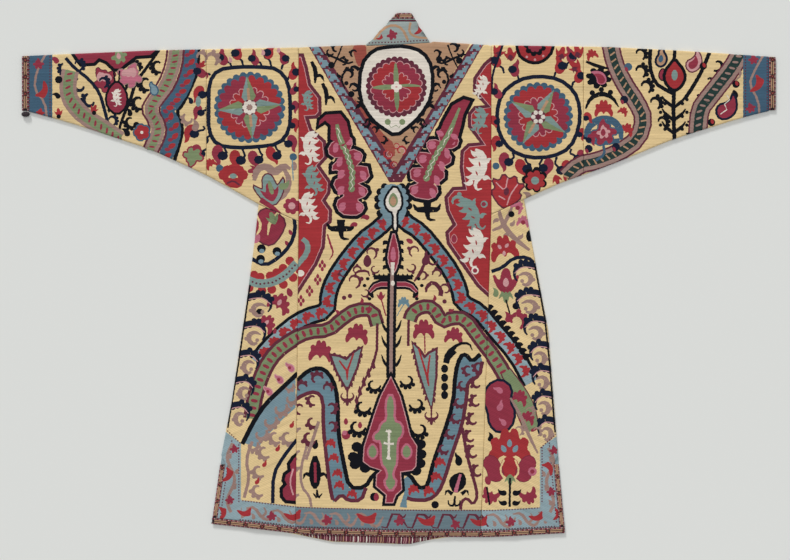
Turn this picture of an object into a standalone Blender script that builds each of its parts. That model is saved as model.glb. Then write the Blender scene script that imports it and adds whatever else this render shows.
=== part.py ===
"""An Uzbek chapan, an embroidered robe, laid out flat with its back up and its sleeves straight out.

Metres. On the robe x runs across from the centre back, y runs up from the neck end of the shoulder
fold, and z runs up from the surface it lies on. Every piece hangs on one empty, which moves the middle
of the whole robe to the origin. The robe is cut the old way, from one narrow loom width: a centre panel
that runs from the back hem over the shoulders to the front hems, two widths in each sleeve, and gores
that widen the sides below the sleeves. Pieces that are sewn together stand SEAM apart.
"""

import math

import bmesh
import bpy

CM = 0.01

# The cloth: embroidered cotton with its lining, and the small space between the two flattened layers.
WALL = 0.0024
LAP = 0.0008
SEAM = 0.0003
LOOSE_SEAM = 3 * SEAM  # where the cloth tilts along a seam
FOLD_RADIUS = (WALL + LAP) / 2
FRONT_LEVEL = WALL / 2
BACK_LEVEL = WALL + LAP + WALL / 2
MIDDLE_LEVEL = WALL + LAP / 2

# The cut, from the centre back line.
HALF_LOOM = 21.2 * CM
LEFT_SEAM_AT_HEM = 21.9 * CM  # where the back's two long seams, which drift as sewn, reach the hem
RIGHT_SEAM_AT_HEM = 18.9 * CM
SLEEVE_SEAM = 41.5 * CM
LEFT_CUFF = 82.1 * CM
RIGHT_CUFF = 83.8 * CM
UNDERARM_LEFT = 30.0 * CM
UNDERARM_RIGHT = 28.4 * CM
SLIT_TOP = -90.0 * CM
NECK_LEFT = -6.3 * CM
NECK_RIGHT = 8.0 * CM
NECK_DEPTH = 8.0 * CM
FRONT_OPENING = 0.3 * CM

# The narrow braid on every edge.
HEM_BRAID = 1.4 * CM
SLIT_BRAID = 1.1 * CM
CUFF_BRAID = 1.5 * CM
COLLAR_BRAID = 1.3 * CM
BRAID_RISE = 0.0004
LINING_WALL = 0.0008

# x and y of the shoulder and the sleeves' top fold, in centimetres.
SHOULDER = [
    (-82.1, -2.3),
    (-52.4, -1.0),
    (-21.2, -0.4),
    (-6.3, 0.2),
    (0.0, 0.4),
    (8.0, 0.9),
    (21.2, 0.1),
    (47.3, -0.3),
    (62.5, -1.1),
    (83.8, -2.5),
]

# x and y of the sleeves' lower edge, from the centre panel to the cuff, in centimetres.
LEFT_UNDERSLEEVE = [
    (21.2, -38.5),
    (30.0, -34.8),
    (36.0, -31.4),
    (42.9, -27.7),
    (53.9, -22.7),
    (71.3, -16.9),
    (82.1, -14.0),
]
RIGHT_UNDERSLEEVE = [
    (21.2, -37.0),
    (28.4, -33.7),
    (36.0, -30.3),
    (47.3, -26.2),
    (61.4, -20.4),
    (76.1, -15.8),
    (83.8, -13.9),
]

# y and outward x of the body's sides, from the underarm to the hem, in centimetres.
LEFT_SIDE = [(-34.8, 30.0), (-43.0, 30.9), (-53.7, 32.3), (-77.9, 35.9), (-90.0, 38.2), (-104.7, 40.3)]
RIGHT_SIDE = [(-33.7, 28.4), (-44.9, 30.4), (-62.5, 33.7), (-86.7, 35.6), (-96.0, 36.4), (-106.5, 37.4)]

# x and y of the lower edges, braid and all, in centimetres.
BACK_HEM = [(-40.3, -105.2), (-31.0, -106.2), (-21.2, -107.4), (0.0, -108.0), (21.2, -108.1), (37.4, -107.2)]
FRONT_HEM = [(-40.3, -104.9), (-24.5, -106.9), (-14.0, -109.1), (3.0, -109.7), (11.5, -107.9), (37.4, -106.6)]

# y and the left and right x of the standing collar, in centimetres.
COLLAR = [
    (0.4, -6.3, 8.0),
    (2.6, -4.2, 6.6),
    (4.4, -2.5, 5.4),
    (5.9, -1.0, 4.5),
    (7.3, 0.3, 3.6),
]

# The largest folds of the upper layer, where the cloth lifts off the layer under it.
#   x, y in cm, way it runs in degrees, half length and half width in cm, rise in mm
FOLDS = [
    (-26.0, -34.6, -24, 6.0, 2.6, 4.2),
    (24.6, -33.2, 24, 6.0, 2.6, 3.6),
    (-13.0, -47.0, -38, 9.0, 3.4, 2.4),
    (14.0, -45.0, 34, 9.0, 3.4, 2.2),
    (-14.0, -98.0, 84, 10.0, 3.6, 3.0),
    (8.0, -99.0, 95, 9.0, 4.0, 2.6),
    (28.0, -96.0, 80, 11.0, 3.2, 3.0),
    (-31.0, -95.0, 98, 11.0, 3.0, 2.6),
    (-57.0, -13.0, -14, 12.0, 3.0, 2.6),
    (59.0, -14.0, 15, 12.0, 3.0, 2.6),
    (-2.0, -9.0, 4, 13.0, 4.5, 2.0),
]

# Colours of the plain stand-in materials: name, red, green, blue, roughness.
SILK = ("embroidered_silk", 0.76, 0.60, 0.27, 0.5)
BRAID = ("edge_braid", 0.30, 0.12, 0.12, 0.7)
LINING = ("lining_cotton", 0.25, 0.06, 0.10, 0.8)


def along(table, where, result=1):
    """Reads a table at a first value, smoothly enough for cloth, with its ends held."""
    rows = sorted(table)
    if where <= rows[0][0]:
        return rows[0][result]
    for low, high in zip(rows, rows[1:]):
        if where <= high[0]:
            part = (where - low[0]) / (high[0] - low[0])
            return low[result] + (high[result] - low[result]) * part
    return rows[-1][result]


def shoulder(x):
    return along(SHOULDER, x / CM) * CM


def undersleeve(x):
    """The sleeve's lower edge at a signed x."""
    table = LEFT_UNDERSLEEVE if x < 0 else RIGHT_UNDERSLEEVE
    return along(table, abs(x) / CM) * CM


def side(hand, y):
    """The signed x of the body's edge at y, where hand is -1 for the left and 1 for the right."""
    table = LEFT_SIDE if hand < 0 else RIGHT_SIDE
    return hand * along(table, y / CM) * CM


def hem(table, x):
    return along(table, x / CM) * CM


def ease(value):
    value = min(1.0, max(0.0, value))
    return value * value * (3 - 2 * value)


def blend(low, high, part):
    return low + (high - low) * part


def armhole_end(hand):
    """The lower end of an armhole seam, where the back's long seam begins."""
    return undersleeve(hand * HALF_LOOM)


def back_seam(hand, y):
    """How far from the centre the seam beside the back of the centre panel lies at y."""
    high = armhole_end(hand)
    low = hem(BACK_HEM, hand * HALF_LOOM)
    at_hem = LEFT_SEAM_AT_HEM if hand < 0 else RIGHT_SEAM_AT_HEM
    part = min(1.0, max(0.0, (high - y) / (high - low)))
    return blend(HALF_LOOM, at_hem, part)


def lift(x, y):
    """How far the upper layer stands off the lower one: its folds, which die out at the fold edges."""
    rise = 0.0
    for fold_x, fold_y, way, half_length, half_width, height in FOLDS:
        dx = x / CM - fold_x
        dy = y / CM - fold_y
        turn = math.radians(way)
        lengthwise = (dx * math.cos(turn) + dy * math.sin(turn)) / half_length
        across = (dy * math.cos(turn) - dx * math.sin(turn)) / half_width
        rise += height * 0.001 * math.exp(-(lengthwise ** 4) - across ** 2)
    rise *= ease((shoulder(x) - y) / (3 * CM))
    if abs(x) > UNDERARM_LEFT and y > -40 * CM:
        rise *= ease((y - undersleeve(x)) / (3 * CM))
    return rise


def material(colour):
    name, red, green, blue, roughness = colour
    found = bpy.data.materials.get(name)
    if found:
        return found
    made = bpy.data.materials.new(name)
    made.use_nodes = True
    shader = made.node_tree.nodes["Principled BSDF"]
    shader.inputs["Base Color"].default_value = (red, green, blue, 1.0)
    shader.inputs["Roughness"].default_value = roughness
    shader.inputs["Metallic"].default_value = 0.0
    return made


def add_piece(name, bm, colour, robe):
    """Makes an object of a bmesh in garment coordinates, in the robe's collection and on its empty."""
    mesh = bpy.data.meshes.new(name)
    bmesh.ops.recalc_face_normals(bm, faces=bm.faces)
    bm.to_mesh(mesh)
    bm.free()
    mesh.materials.append(material(colour))
    piece = bpy.data.objects.new(name, mesh)
    robe["collection"].objects.link(piece)
    piece.parent = robe["place"]
    mesh.shade_smooth()
    mesh.set_sharp_from_angle(angle=math.radians(50))
    return piece


def sheet(columns, rows, place, leave_out=None):
    """A grid of cloth whose corner (column, row) lies at place(column, row)."""
    bm = bmesh.new()
    bmesh.ops.create_grid(bm, x_segments=columns, y_segments=rows, size=1.0)
    spots = {}
    for vert in bm.verts:
        column = round((vert.co.x + 1) / 2 * columns)
        row = round((vert.co.y + 1) / 2 * rows)
        spots[vert] = (column, row)
    if leave_out:
        gone = []
        for face in bm.faces:
            column = min(spots[vert][0] for vert in face.verts)
            row = min(spots[vert][1] for vert in face.verts)
            if leave_out(column, row):
                gone.append(face)
        bmesh.ops.delete(bm, geom=gone, context="FACES")
    for vert in bm.verts:
        vert.co = place(*spots[vert])
    return bm


def wall(piece, thickness):
    """Gives a middle surface its thickness, half to each side."""
    solid = piece.modifiers.new("cloth wall", "SOLIDIFY")
    solid.thickness = thickness
    solid.offset = 0.0
    solid.use_even_offset = True


def raise_wall(bm, thickness):
    """Gives a surface that lies flat its thickness straight up."""
    raised = bmesh.ops.extrude_face_region(bm, geom=list(bm.faces))["geom"]
    upper = [item for item in raised if isinstance(item, bmesh.types.BMVert)]
    bmesh.ops.translate(bm, verts=upper, vec=(0, 0, thickness))


def turn_over(edge_y, step, steps):
    """y and z on the half circle by which cloth folds under at an upper edge."""
    angle = math.pi * step / steps
    return (edge_y - FOLD_RADIUS + FOLD_RADIUS * math.sin(angle), MIDDLE_LEVEL + FOLD_RADIUS * math.cos(angle))


# ---- centre panel: one loom width over the shoulders, with the neck and the front opening cut in it

CENTRE_COLUMNS = [-21.185, -16.4, -11.4, -6.3, -4.2, -2.1, -0.15, 0.15, 2.7, 5.4, 8.0, 12.2, 16.6, 21.185]
SKIRT_ROWS = 12
BACK_ROWS = 18
FOLD_ROWS = 4
FRONT_ROWS = 8


def neck_drop(x):
    """How far a round front neck, cut from one neck point to the other, falls below the shoulder at x."""
    middle = (NECK_LEFT + NECK_RIGHT) / 2
    reach = (NECK_RIGHT - NECK_LEFT) / 2
    across = min(1.0, abs(x - middle) / reach)
    return NECK_DEPTH * math.sqrt(1 - across * across)


def neckline(x):
    """The front neck's edge, straight between the panel's columns, so that the collar can meet it."""
    drops = [(column, neck_drop(column * CM)) for column in CENTRE_COLUMNS]
    return shoulder(x) - FOLD_RADIUS - along(drops, x / CM)


def centre_spot(column, row):
    x = CENTRE_COLUMNS[column] * CM
    if row <= BACK_ROWS:
        armhole = blend(armhole_end(-1), armhole_end(1), (x / HALF_LOOM + 1) / 2)
        if row < SKIRT_ROWS:
            hand = math.copysign(1, x)
            x_at_hem = x * back_seam(hand, -200 * CM) / HALF_LOOM
            low = hem(BACK_HEM, x_at_hem) + HEM_BRAID + SEAM
            y = blend(low, armhole, row / SKIRT_ROWS)
            x *= back_seam(hand, y) / HALF_LOOM
        else:
            y = blend(armhole, shoulder(x) - FOLD_RADIUS, (row - SKIRT_ROWS) / (BACK_ROWS - SKIRT_ROWS))
        return (x, y, BACK_LEVEL + lift(x, y))
    if row < BACK_ROWS + FOLD_ROWS:
        y, z = turn_over(shoulder(x), row - BACK_ROWS, FOLD_ROWS)
        return (x, y, z)
    y = blend(neckline(x), hem(FRONT_HEM, x), (row - BACK_ROWS - FOLD_ROWS) / FRONT_ROWS)
    return (x, y, FRONT_LEVEL)


def centre_gap(column, row):
    """The cells of the neck hole and of the front opening."""
    middle = (CENTRE_COLUMNS[column] + CENTRE_COLUMNS[column + 1]) / 2 * CM
    in_neck = NECK_LEFT < middle < NECK_RIGHT and BACK_ROWS <= row < BACK_ROWS + FOLD_ROWS
    in_front = abs(middle) < FRONT_OPENING / 2 and row >= BACK_ROWS + FOLD_ROWS
    return in_neck or in_front


def centre_panel(robe):
    rows = BACK_ROWS + FOLD_ROWS + FRONT_ROWS
    bm = sheet(len(CENTRE_COLUMNS) - 1, rows, centre_spot, centre_gap)
    wall(add_piece("centre_panel", bm, SILK, robe), WALL)


# ---- sleeves: two widths each, folded along the top and sewn under the arm

SLEEVE_FOLD = 4
SLEEVE_BACK = 8
SLEEVE_FRONT = 4
UNDER_ROLL = 2
SLEEVE_ROWS = UNDER_ROLL + SLEEVE_BACK + SLEEVE_FOLD + SLEEVE_FRONT + UNDER_ROLL


def sleeve_section(x, underarm):
    """The section of a flattened sleeve at x: from its under seam over the top fold and back again."""
    top = shoulder(x)
    low = undersleeve(x)
    closed = abs(x) > underarm + SEAM
    low_back = low + (FOLD_RADIUS if closed else 2 * SEAM)
    high = top - FOLD_RADIUS
    section = []
    for step in range(UNDER_ROLL):
        angle = math.pi / 2 * (1 - step / UNDER_ROLL)
        if closed:
            y = low + FOLD_RADIUS - FOLD_RADIUS * math.sin(angle)
            z = MIDDLE_LEVEL + FOLD_RADIUS * math.cos(angle)
        else:
            y = low + (SEAM if step else 0.0)
            z = BACK_LEVEL + lift(x, y)
        section.append((x, y, z))
    for step in range(SLEEVE_BACK):
        y = blend(low_back, high, step / SLEEVE_BACK)
        section.append((x, y, BACK_LEVEL + lift(x, y)))
    for step in range(SLEEVE_FOLD):
        y, z = turn_over(top, step, SLEEVE_FOLD)
        section.append((x, y, z))
    for step in range(SLEEVE_FRONT):
        y = blend(high, low_back, step / SLEEVE_FRONT)
        section.append((x, y, FRONT_LEVEL))
    for step in range(UNDER_ROLL + 1):
        angle = math.pi / 2 * step / UNDER_ROLL
        if closed:
            y = low + FOLD_RADIUS - FOLD_RADIUS * math.sin(angle)
            z = MIDDLE_LEVEL - FOLD_RADIUS * math.cos(angle)
        else:
            y = low_back - step * SEAM
            z = FRONT_LEVEL
        section.append((x, y, z))
    return section


def sleeve_width(name, stations, underarm, robe, colour=SILK):
    """One width of a sleeve through its sections, closed along the under seam past the underarm."""
    sections = [sleeve_section(x, underarm) for x in stations]
    bm = sheet(len(stations) - 1, SLEEVE_ROWS, lambda column, row: sections[column][row])
    bmesh.ops.remove_doubles(bm, verts=bm.verts, dist=0.00001)
    wall(add_piece(name, bm, colour, robe), WALL)


def evenly(first, last, count):
    return [blend(first, last, step / count) for step in range(count + 1)]


def sleeve(hand, side_name, underarm, cuff, robe):
    inner = hand * (HALF_LOOM + SEAM / 2)
    arm = hand * underarm
    seam = hand * SLEEVE_SEAM
    braid = hand * (cuff - CUFF_BRAID)
    upper = evenly(inner, arm, 3) + evenly(arm + hand * CM, seam - hand * SEAM / 2, 3)
    sleeve_width("sleeve_upper_" + side_name, upper, underarm, robe)
    lower = evenly(seam + hand * SEAM / 2, braid - hand * LOOSE_SEAM, 9)
    sleeve_width("sleeve_lower_" + side_name, lower, underarm, robe)
    edge = evenly(braid, hand * cuff, 1)
    sleeve_width("cuff_braid_" + side_name, edge, underarm, robe, BRAID)


# ---- gores: slanted pieces from the underarm to the hem, one on each layer of each side


def slit_inset(y):
    """How far the back gore stops short of the edge, where the braid of the side slit takes over."""
    return (SLIT_BRAID + SEAM) * ease((SLIT_TOP - y) / (2 * CM))


def slit_heights(hand):
    """The heights at which the braid of a side slit and the gore beside it have their corners."""
    low = hem(BACK_HEM, side(hand, -200 * CM)) + HEM_BRAID + SEAM
    return evenly(low, SLIT_TOP - 2 * CM, 5)


def gore(hand, side_name, underarm, robe):
    inner = hand * (HALF_LOOM + SEAM / 2)
    top_inner = armhole_end(hand) - LOOSE_SEAM
    top_outer = undersleeve(hand * underarm) - LOOSE_SEAM
    back_foot = hand * (back_seam(hand, -200 * CM) + SEAM / 2)
    below = slit_heights(hand)
    low_front = hem(FRONT_HEM, side(hand, -200 * CM))
    layers = [
        ("back", 5, below + evenly(SLIT_TOP, top_outer, 9), hem(BACK_HEM, back_foot) + HEM_BRAID + SEAM),
        ("front", 3, evenly(low_front, top_outer, 8), hem(FRONT_HEM, inner)),
    ]
    for layer, columns, heights, low_inner in layers:
        back = layer == "back"

        def spot(column, row):
            outer_y = heights[row]
            outer_x = side(hand, outer_y)
            if back:
                outer_x -= hand * slit_inset(outer_y)
            up = (outer_y - heights[0]) / (heights[-1] - heights[0])
            inner_y = blend(low_inner, top_inner, up)
            inner_x = hand * (back_seam(hand, inner_y) + SEAM / 2) if back else inner
            x = blend(inner_x, outer_x, column / columns)
            y = blend(inner_y, outer_y, column / columns)
            return (x, y, BACK_LEVEL + lift(x, y) if back else FRONT_LEVEL)

        bm = sheet(columns, len(heights) - 1, spot)
        wall(add_piece(f"gore_{layer}_{side_name}", bm, SILK, robe), WALL)


# ---- collar: a standing band whose sides fold forward and run into the front neck

COLLAR_FOLD = 4
COLLAR_EDGE = FOLD_RADIUS + WALL / 2 + SEAM
COLLAR_TOP = COLLAR[-1][0] * CM


def collar_foot(x):
    """The height of the collar's seam on the back neck."""
    return shoulder(x) - FOLD_RADIUS + LOOSE_SEAM


def collar_foot_line():
    """x, z and layer of the collar's foot, from the front opening round both sides and back to it."""
    neck = [column * CM for column in CENTRE_COLUMNS if NECK_LEFT < column * CM < NECK_RIGHT]
    left = NECK_LEFT + COLLAR_EDGE
    right = NECK_RIGHT - COLLAR_EDGE
    line = [(x, FRONT_LEVEL, "front") for x in reversed(neck) if x < 0]
    for step in range(COLLAR_FOLD + 1):
        angle = math.pi * step / COLLAR_FOLD
        x = left - FOLD_RADIUS * math.sin(angle)
        line.append((x, MIDDLE_LEVEL - FOLD_RADIUS * math.cos(angle), "back"))
    line += [(x, BACK_LEVEL, "back") for x in neck]
    for step in range(COLLAR_FOLD + 1):
        angle = math.pi * step / COLLAR_FOLD
        x = right + FOLD_RADIUS * math.sin(angle)
        line.append((x, MIDDLE_LEVEL + FOLD_RADIUS * math.cos(angle), "back"))
    line += [(x, FRONT_LEVEL, "front") for x in reversed(neck) if x > 0]
    return line


def collar_spot(foot, up, first, last):
    """A point of the collar above one point of its foot: the band narrows from the foot to the top."""
    foot_x, z, layer = foot
    part = blend(first, last, up)
    level = blend(COLLAR[0][0], COLLAR[-1][0], part)
    left = along(COLLAR, level, 1) * CM + COLLAR_EDGE
    right = along(COLLAR, level, 2) * CM - COLLAR_EDGE
    foot_left = NECK_LEFT + COLLAR_EDGE
    foot_right = NECK_RIGHT - COLLAR_EDGE
    held = min(max(foot_x, foot_left), foot_right)
    x = blend(left, right, (held - foot_left) / (foot_right - foot_left)) + foot_x - held
    foot_y = neckline(foot_x) + LOOSE_SEAM if layer == "front" else collar_foot(foot_x)
    return (x, blend(foot_y, COLLAR_TOP, part), z)


def collar(robe):
    split = 1 - COLLAR_BRAID / (COLLAR_TOP - COLLAR[0][0] * CM)
    apart = LOOSE_SEAM / (COLLAR_TOP - COLLAR[0][0] * CM)
    pieces = [("collar", 0.0, split - apart, 5, SILK), ("collar_braid", split, 1.0, 1, BRAID)]
    line = collar_foot_line()
    for name, first, last, rows, colour in pieces:
        bm = sheet(len(line) - 1, rows, lambda around, row: collar_spot(line[around], row / rows, first, last))
        wall(add_piece(name, bm, colour, robe), WALL)


# ---- edge braid of the hem and the side slits, the lining that shows, and the knot on the left cuff


def strip(name, path, across, base, thickness, colour, robe):
    """A flat strip along a path, from one edge to the other at each of its points."""

    def spot(column, row):
        inner, outer = path[column]
        x = blend(inner[0], outer[0], row / across)
        y = blend(inner[1], outer[1], row / across)
        return (x, y, base(x, y))

    bm = sheet(len(path) - 1, across, spot)
    raise_wall(bm, thickness)
    add_piece(name, bm, colour, robe)


def back_underside(x, y):
    return WALL + LAP + lift(x, y)


def hem_braid(robe):
    left = -LEFT_SIDE[-1][1] * CM
    right = RIGHT_SIDE[-1][1] * CM
    path = []
    for x in evenly(left, right, 24):
        low = hem(BACK_HEM, x)
        path.append(((x, low + HEM_BRAID), (x, low)))
    strip("hem_braid", path, 1, back_underside, WALL + BRAID_RISE, BRAID, robe)


def slit_braids(robe):
    for hand, side_name in ((-1, "left"), (1, "right")):
        path = []
        for y in slit_heights(hand):
            outer = side(hand, y)
            path.append(((outer - hand * SLIT_BRAID, y), (outer, y)))
        strip("slit_braid_" + side_name, path, 1, back_underside, WALL + BRAID_RISE, BRAID, robe)


def lining_strip(robe):
    """The front's lining, where the front hem hangs lower than the back hem."""
    path = []
    for x in evenly(-21.0 * CM, 8.0 * CM, 12):
        low = hem(FRONT_HEM, x) + SEAM
        high = max(low + 0.001, hem(BACK_HEM, x) - SEAM)
        path.append(((x, high), (x, low)))
    strip("lining_strip", path, 1, lambda x, y: WALL + SEAM, LINING_WALL, LINING, robe)


KNOT_REACH = (0.9 * CM, 0.6 * CM, 0.45 * CM)
KNOT_PLACE = (-81.3 * CM, -15.0 * CM)


def cuff_knot(robe):
    bm = bmesh.new()
    bmesh.ops.create_icosphere(bm, subdivisions=2, radius=1.0)
    bmesh.ops.scale(bm, vec=KNOT_REACH, verts=bm.verts)
    bmesh.ops.translate(bm, vec=(*KNOT_PLACE, KNOT_REACH[2]), verts=bm.verts)
    add_piece("cuff_knot_left", bm, BRAID, robe)


def clear_scene():
    for thing in list(bpy.data.objects):
        bpy.data.objects.remove(thing)


def build_robe():
    collection = bpy.data.collections.new("chapan")
    bpy.context.scene.collection.children.link(collection)
    place = bpy.data.objects.new("chapan_place", None)
    lowest = min(y for _, y in FRONT_HEM) * CM
    place.location.x = (LEFT_CUFF - RIGHT_CUFF) / 2
    place.location.y = -(COLLAR_TOP + lowest) / 2
    collection.objects.link(place)
    robe = {"collection": collection, "place": place}
    centre_panel(robe)
    sleeve(-1, "left", UNDERARM_LEFT, LEFT_CUFF, robe)
    sleeve(1, "right", UNDERARM_RIGHT, RIGHT_CUFF, robe)
    gore(-1, "left", UNDERARM_LEFT, robe)
    gore(1, "right", UNDERARM_RIGHT, robe)
    collar(robe)
    hem_braid(robe)
    slit_braids(robe)
    lining_strip(robe)
    cuff_knot(robe)


clear_scene()
build_robe()
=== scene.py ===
"""The looks of an Uzbek chapan, an embroidered robe laid flat with its back up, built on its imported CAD
model."""

import math
import random

import bmesh
import bpy
import numpy as np
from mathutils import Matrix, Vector
from mathutils.geometry import delaunay_2d_cdt


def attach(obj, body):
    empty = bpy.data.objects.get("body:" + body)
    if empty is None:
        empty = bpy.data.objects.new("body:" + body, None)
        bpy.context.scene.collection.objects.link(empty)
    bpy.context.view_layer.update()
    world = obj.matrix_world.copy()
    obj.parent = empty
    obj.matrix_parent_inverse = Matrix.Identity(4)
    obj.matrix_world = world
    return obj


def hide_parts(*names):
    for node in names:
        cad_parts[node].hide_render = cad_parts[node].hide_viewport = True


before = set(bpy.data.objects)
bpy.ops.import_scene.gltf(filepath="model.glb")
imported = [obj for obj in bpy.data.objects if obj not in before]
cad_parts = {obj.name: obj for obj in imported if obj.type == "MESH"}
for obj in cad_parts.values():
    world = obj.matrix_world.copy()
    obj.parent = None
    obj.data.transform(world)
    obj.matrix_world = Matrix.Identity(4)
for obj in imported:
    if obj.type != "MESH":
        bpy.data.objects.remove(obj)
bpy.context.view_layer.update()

# ---- the surface it lies on, the light and the camera
# A pale matt surface under a wide window at the collar end, low enough for short soft shadows below the
# sleeves and the hem, with soft light from all round. The camera looks straight down.

ROBE_AT = Vector((-0.0085, 0.512, 0.0))

floor_bm = bmesh.new()
bmesh.ops.create_grid(floor_bm, x_segments=1, y_segments=1, size=16.0)
bmesh.ops.translate(floor_bm, verts=floor_bm.verts, vec=(0, 0, -0.0004))
floor_mesh = bpy.data.meshes.new("floor")
floor_bm.to_mesh(floor_mesh)
floor_bm.free()
floor = bpy.data.objects.new("floor", floor_mesh)
bpy.context.scene.collection.objects.link(floor)
floor_finish = bpy.data.materials.new("pale floor")
floor_finish.use_nodes = True
floor_shader = floor_finish.node_tree.nodes["Principled BSDF"]
floor_shader.inputs["Base Color"].default_value = (0.86, 0.87, 0.835, 1.0)
floor_shader.inputs["Roughness"].default_value = 0.9
floor_shader.inputs["Specular IOR Level"].default_value = 0.1
floor_mesh.materials.append(floor_finish)

for light_name, spot, strength, softness in (
    ("window", (-0.35, 1.0, 0.5), 1.75, 11.0), ("overhead", (0.1, 0.1, 1.0), 0.5, 60.0),
):
    lamp = bpy.data.lights.new(light_name, "SUN")
    lamp.energy = strength
    lamp.angle = math.radians(softness)
    holder = bpy.data.objects.new(light_name, lamp)
    holder.location = Vector(spot) * 3
    holder.rotation_euler = (-Vector(spot)).to_track_quat("-Z", "Y").to_euler()
    bpy.context.scene.collection.objects.link(holder)

sky = bpy.data.worlds.new("soft room")
sky.use_nodes = True
sky.node_tree.nodes["Background"].inputs["Color"].default_value = (0.97, 0.98, 1.0, 1.0)
sky.node_tree.nodes["Background"].inputs["Strength"].default_value = 0.42
bpy.context.scene.world = sky
bpy.context.scene.view_settings.view_transform = "Standard"

camera = bpy.data.cameras.new("camera")
camera.sensor_width = 36.0
camera.lens = 36.0 * 4.0 / 1.738
eye = bpy.data.objects.new("camera", camera)
eye.location = (ROBE_AT.x, ROBE_AT.y - 0.5148, 4.006)
bpy.context.scene.collection.objects.link(eye)
bpy.context.scene.camera = eye

# ---- centre panel
# One loom width of cotton from the back hem over the shoulders to the front hems, covered edge to edge with
# silk laid in rows and tied down, and lined. The sleeves and the gores are sewn to its long sides.
# It carries the yoke, the red side strips, the spire with its palmette, and most of the hem border.

CM = 0.01
ROW = 0.34
THREADS = {"straw": (238, 209, 154), "salmon": (190, 150, 118), "terracotta": (163, 82, 70),
    "crimson": (153, 54, 72), "red": (172, 53, 57), "maroon": (104, 46, 62), "night": (10, 13, 22),
    "navy": (18, 28, 50), "forest": (38, 60, 56), "ice": (128, 154, 164), "blue": (112, 142, 154),
    "mist": (152, 174, 180), "sage": (132, 148, 108), "teal": (134, 158, 152), "mauve": (165, 134, 124),
    "pink": (198, 112, 132), "cream": (238, 228, 214), "rose": (214, 160, 160), "sea": (70, 100, 122),
    "fog": (160, 172, 168), "slate": (114, 134, 142), "soot": (48, 32, 36)}


def dyed(thread):
    """A thread's colour as the materials take it."""
    return [((part / 255 + 0.055) / 1.055) ** 2.4 for part in THREADS[thread]] + [1.0]


drawn = []


def patch(thread, outline):
    """One area filled with one thread. Later patches lie over earlier ones. Sizes here are in centimetres."""
    drawn.append((thread, outline))


def rounded(outline, times=1, closed=True):
    """Cuts the corners of an outline, as the stepped rows of stitches do."""
    for _ in range(times):
        cut = []
        ends = list(zip(outline, outline[1:] + outline[:1])) if closed else list(zip(outline, outline[1:]))
        for (ax, ay), (bx, by) in ends:
            cut.append((ax * 0.75 + bx * 0.25, ay * 0.75 + by * 0.25))
            cut.append((ax * 0.25 + bx * 0.75, ay * 0.25 + by * 0.75))
        if not closed:
            cut = [outline[0]] + cut[1:-1] + [outline[-1]]
        outline = cut
    return outline


def grown(outline, by):
    """An outline moved outwards, or inwards where by is negative."""
    points = np.array(outline)
    before = points - np.roll(points, 1, 0)
    after = np.roll(points, -1, 0) - points
    turn = 1.0 if np.sum(np.roll(points, 1, 0)[:, 0] * points[:, 1] - points[:, 0] * np.roll(points, 1, 0)[:,
        1]) > 0 else -1.0
    before /= np.linalg.norm(before, axis=1, keepdims=True) + 1e-9
    after /= np.linalg.norm(after, axis=1, keepdims=True) + 1e-9
    out = np.stack([before[:, 1] + after[:, 1], -before[:, 0] - after[:, 0]], 1) * turn
    size = np.linalg.norm(out, axis=1, keepdims=True)
    out /= size + 1e-9
    stretch = np.minimum(2.0 / np.maximum(size, 0.3), 1.8)
    return [tuple(point) for point in points + out * stretch * by]


def layered(outline, *layers):
    """The same outline in several threads, each grown by its own amount."""
    for thread, by in layers:
        patch(thread, grown(outline, by))


def disc(thread, x, y, across, tall=None, sides=10):
    tall = tall or across
    turns = [math.tau * step / sides for step in range(sides)]
    patch(thread, [(x + across * math.cos(a), y + tall * math.sin(a)) for a in turns])


def ribbon(thread, path, width, times=1, run=3):
    """A line of stitches along a path. The width may change from one value to the next along it."""
    widths = width if isinstance(width, (list, tuple)) else (width, width)
    path = rounded(path, times, closed=False)
    points = np.array(path)
    steps = np.linalg.norm(np.diff(points, axis=0), axis=1)
    part = np.concatenate([[0], np.cumsum(steps)]) / max(steps.sum(), 1e-6)
    half = np.interp(part, np.linspace(0, 1, len(widths)), widths) / 2
    way = np.gradient(points, axis=0)
    way /= np.linalg.norm(way, axis=1, keepdims=True) + 1e-9
    side = np.stack([-way[:, 1], way[:, 0]], 1) * half[:, None]
    left = points + side
    right = points - side
    for a in range(0, len(points) - 1, run):
        b = min(a + run, len(points) - 1) + 1
        patch(thread, [tuple(spot) for spot in left[a:b]] + [tuple(spot) for spot in right[a:b][::-1]])


def mirrored(half):
    """A whole outline from its right half, given from the foot up."""
    return half + [(-x, y) for x, y in reversed(half) if abs(x) > 1e-6]


def placed(shape, x, y, size, turn=0.0, flip=1):
    """A shape drawn around its own middle, made to size, turned anticlockwise in degrees and moved to x,
    y."""
    cos = math.cos(math.radians(turn)) * size
    sin = math.sin(math.radians(turn)) * size
    return [(x + px * flip * cos - py * sin, y + px * flip * sin + py * cos) for px, py in shape]


def stitch_block(half_long, half_wide, x, y, turn):
    """A four-cornered block of stitches, turned by so many degrees."""
    corners = [(-half_long, -half_wide), (half_long, -half_wide)]
    corners += [(half_long, half_wide), (-half_long, half_wide)]
    return placed(corners, x, y, 1.0, turn)


def along(path, step, start=0.5):
    """Places at even steps along a path: x, y and the way it runs in degrees."""
    points = np.array(path, float)
    steps = np.linalg.norm(np.diff(points, axis=0), axis=1)
    total = np.concatenate([[0], np.cumsum(steps)])
    spots = []
    where = start * step
    while where < total[-1]:
        at = min(int(np.searchsorted(total, where, side="right")) - 1, len(steps) - 1)
        part = (where - total[at]) / steps[at]
        x, y = points[at] + (points[at + 1] - points[at]) * part
        dx, dy = points[at + 1] - points[at]
        spots.append((x, y, math.degrees(math.atan2(dy, dx))))
        where += step
    return spots


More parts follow.
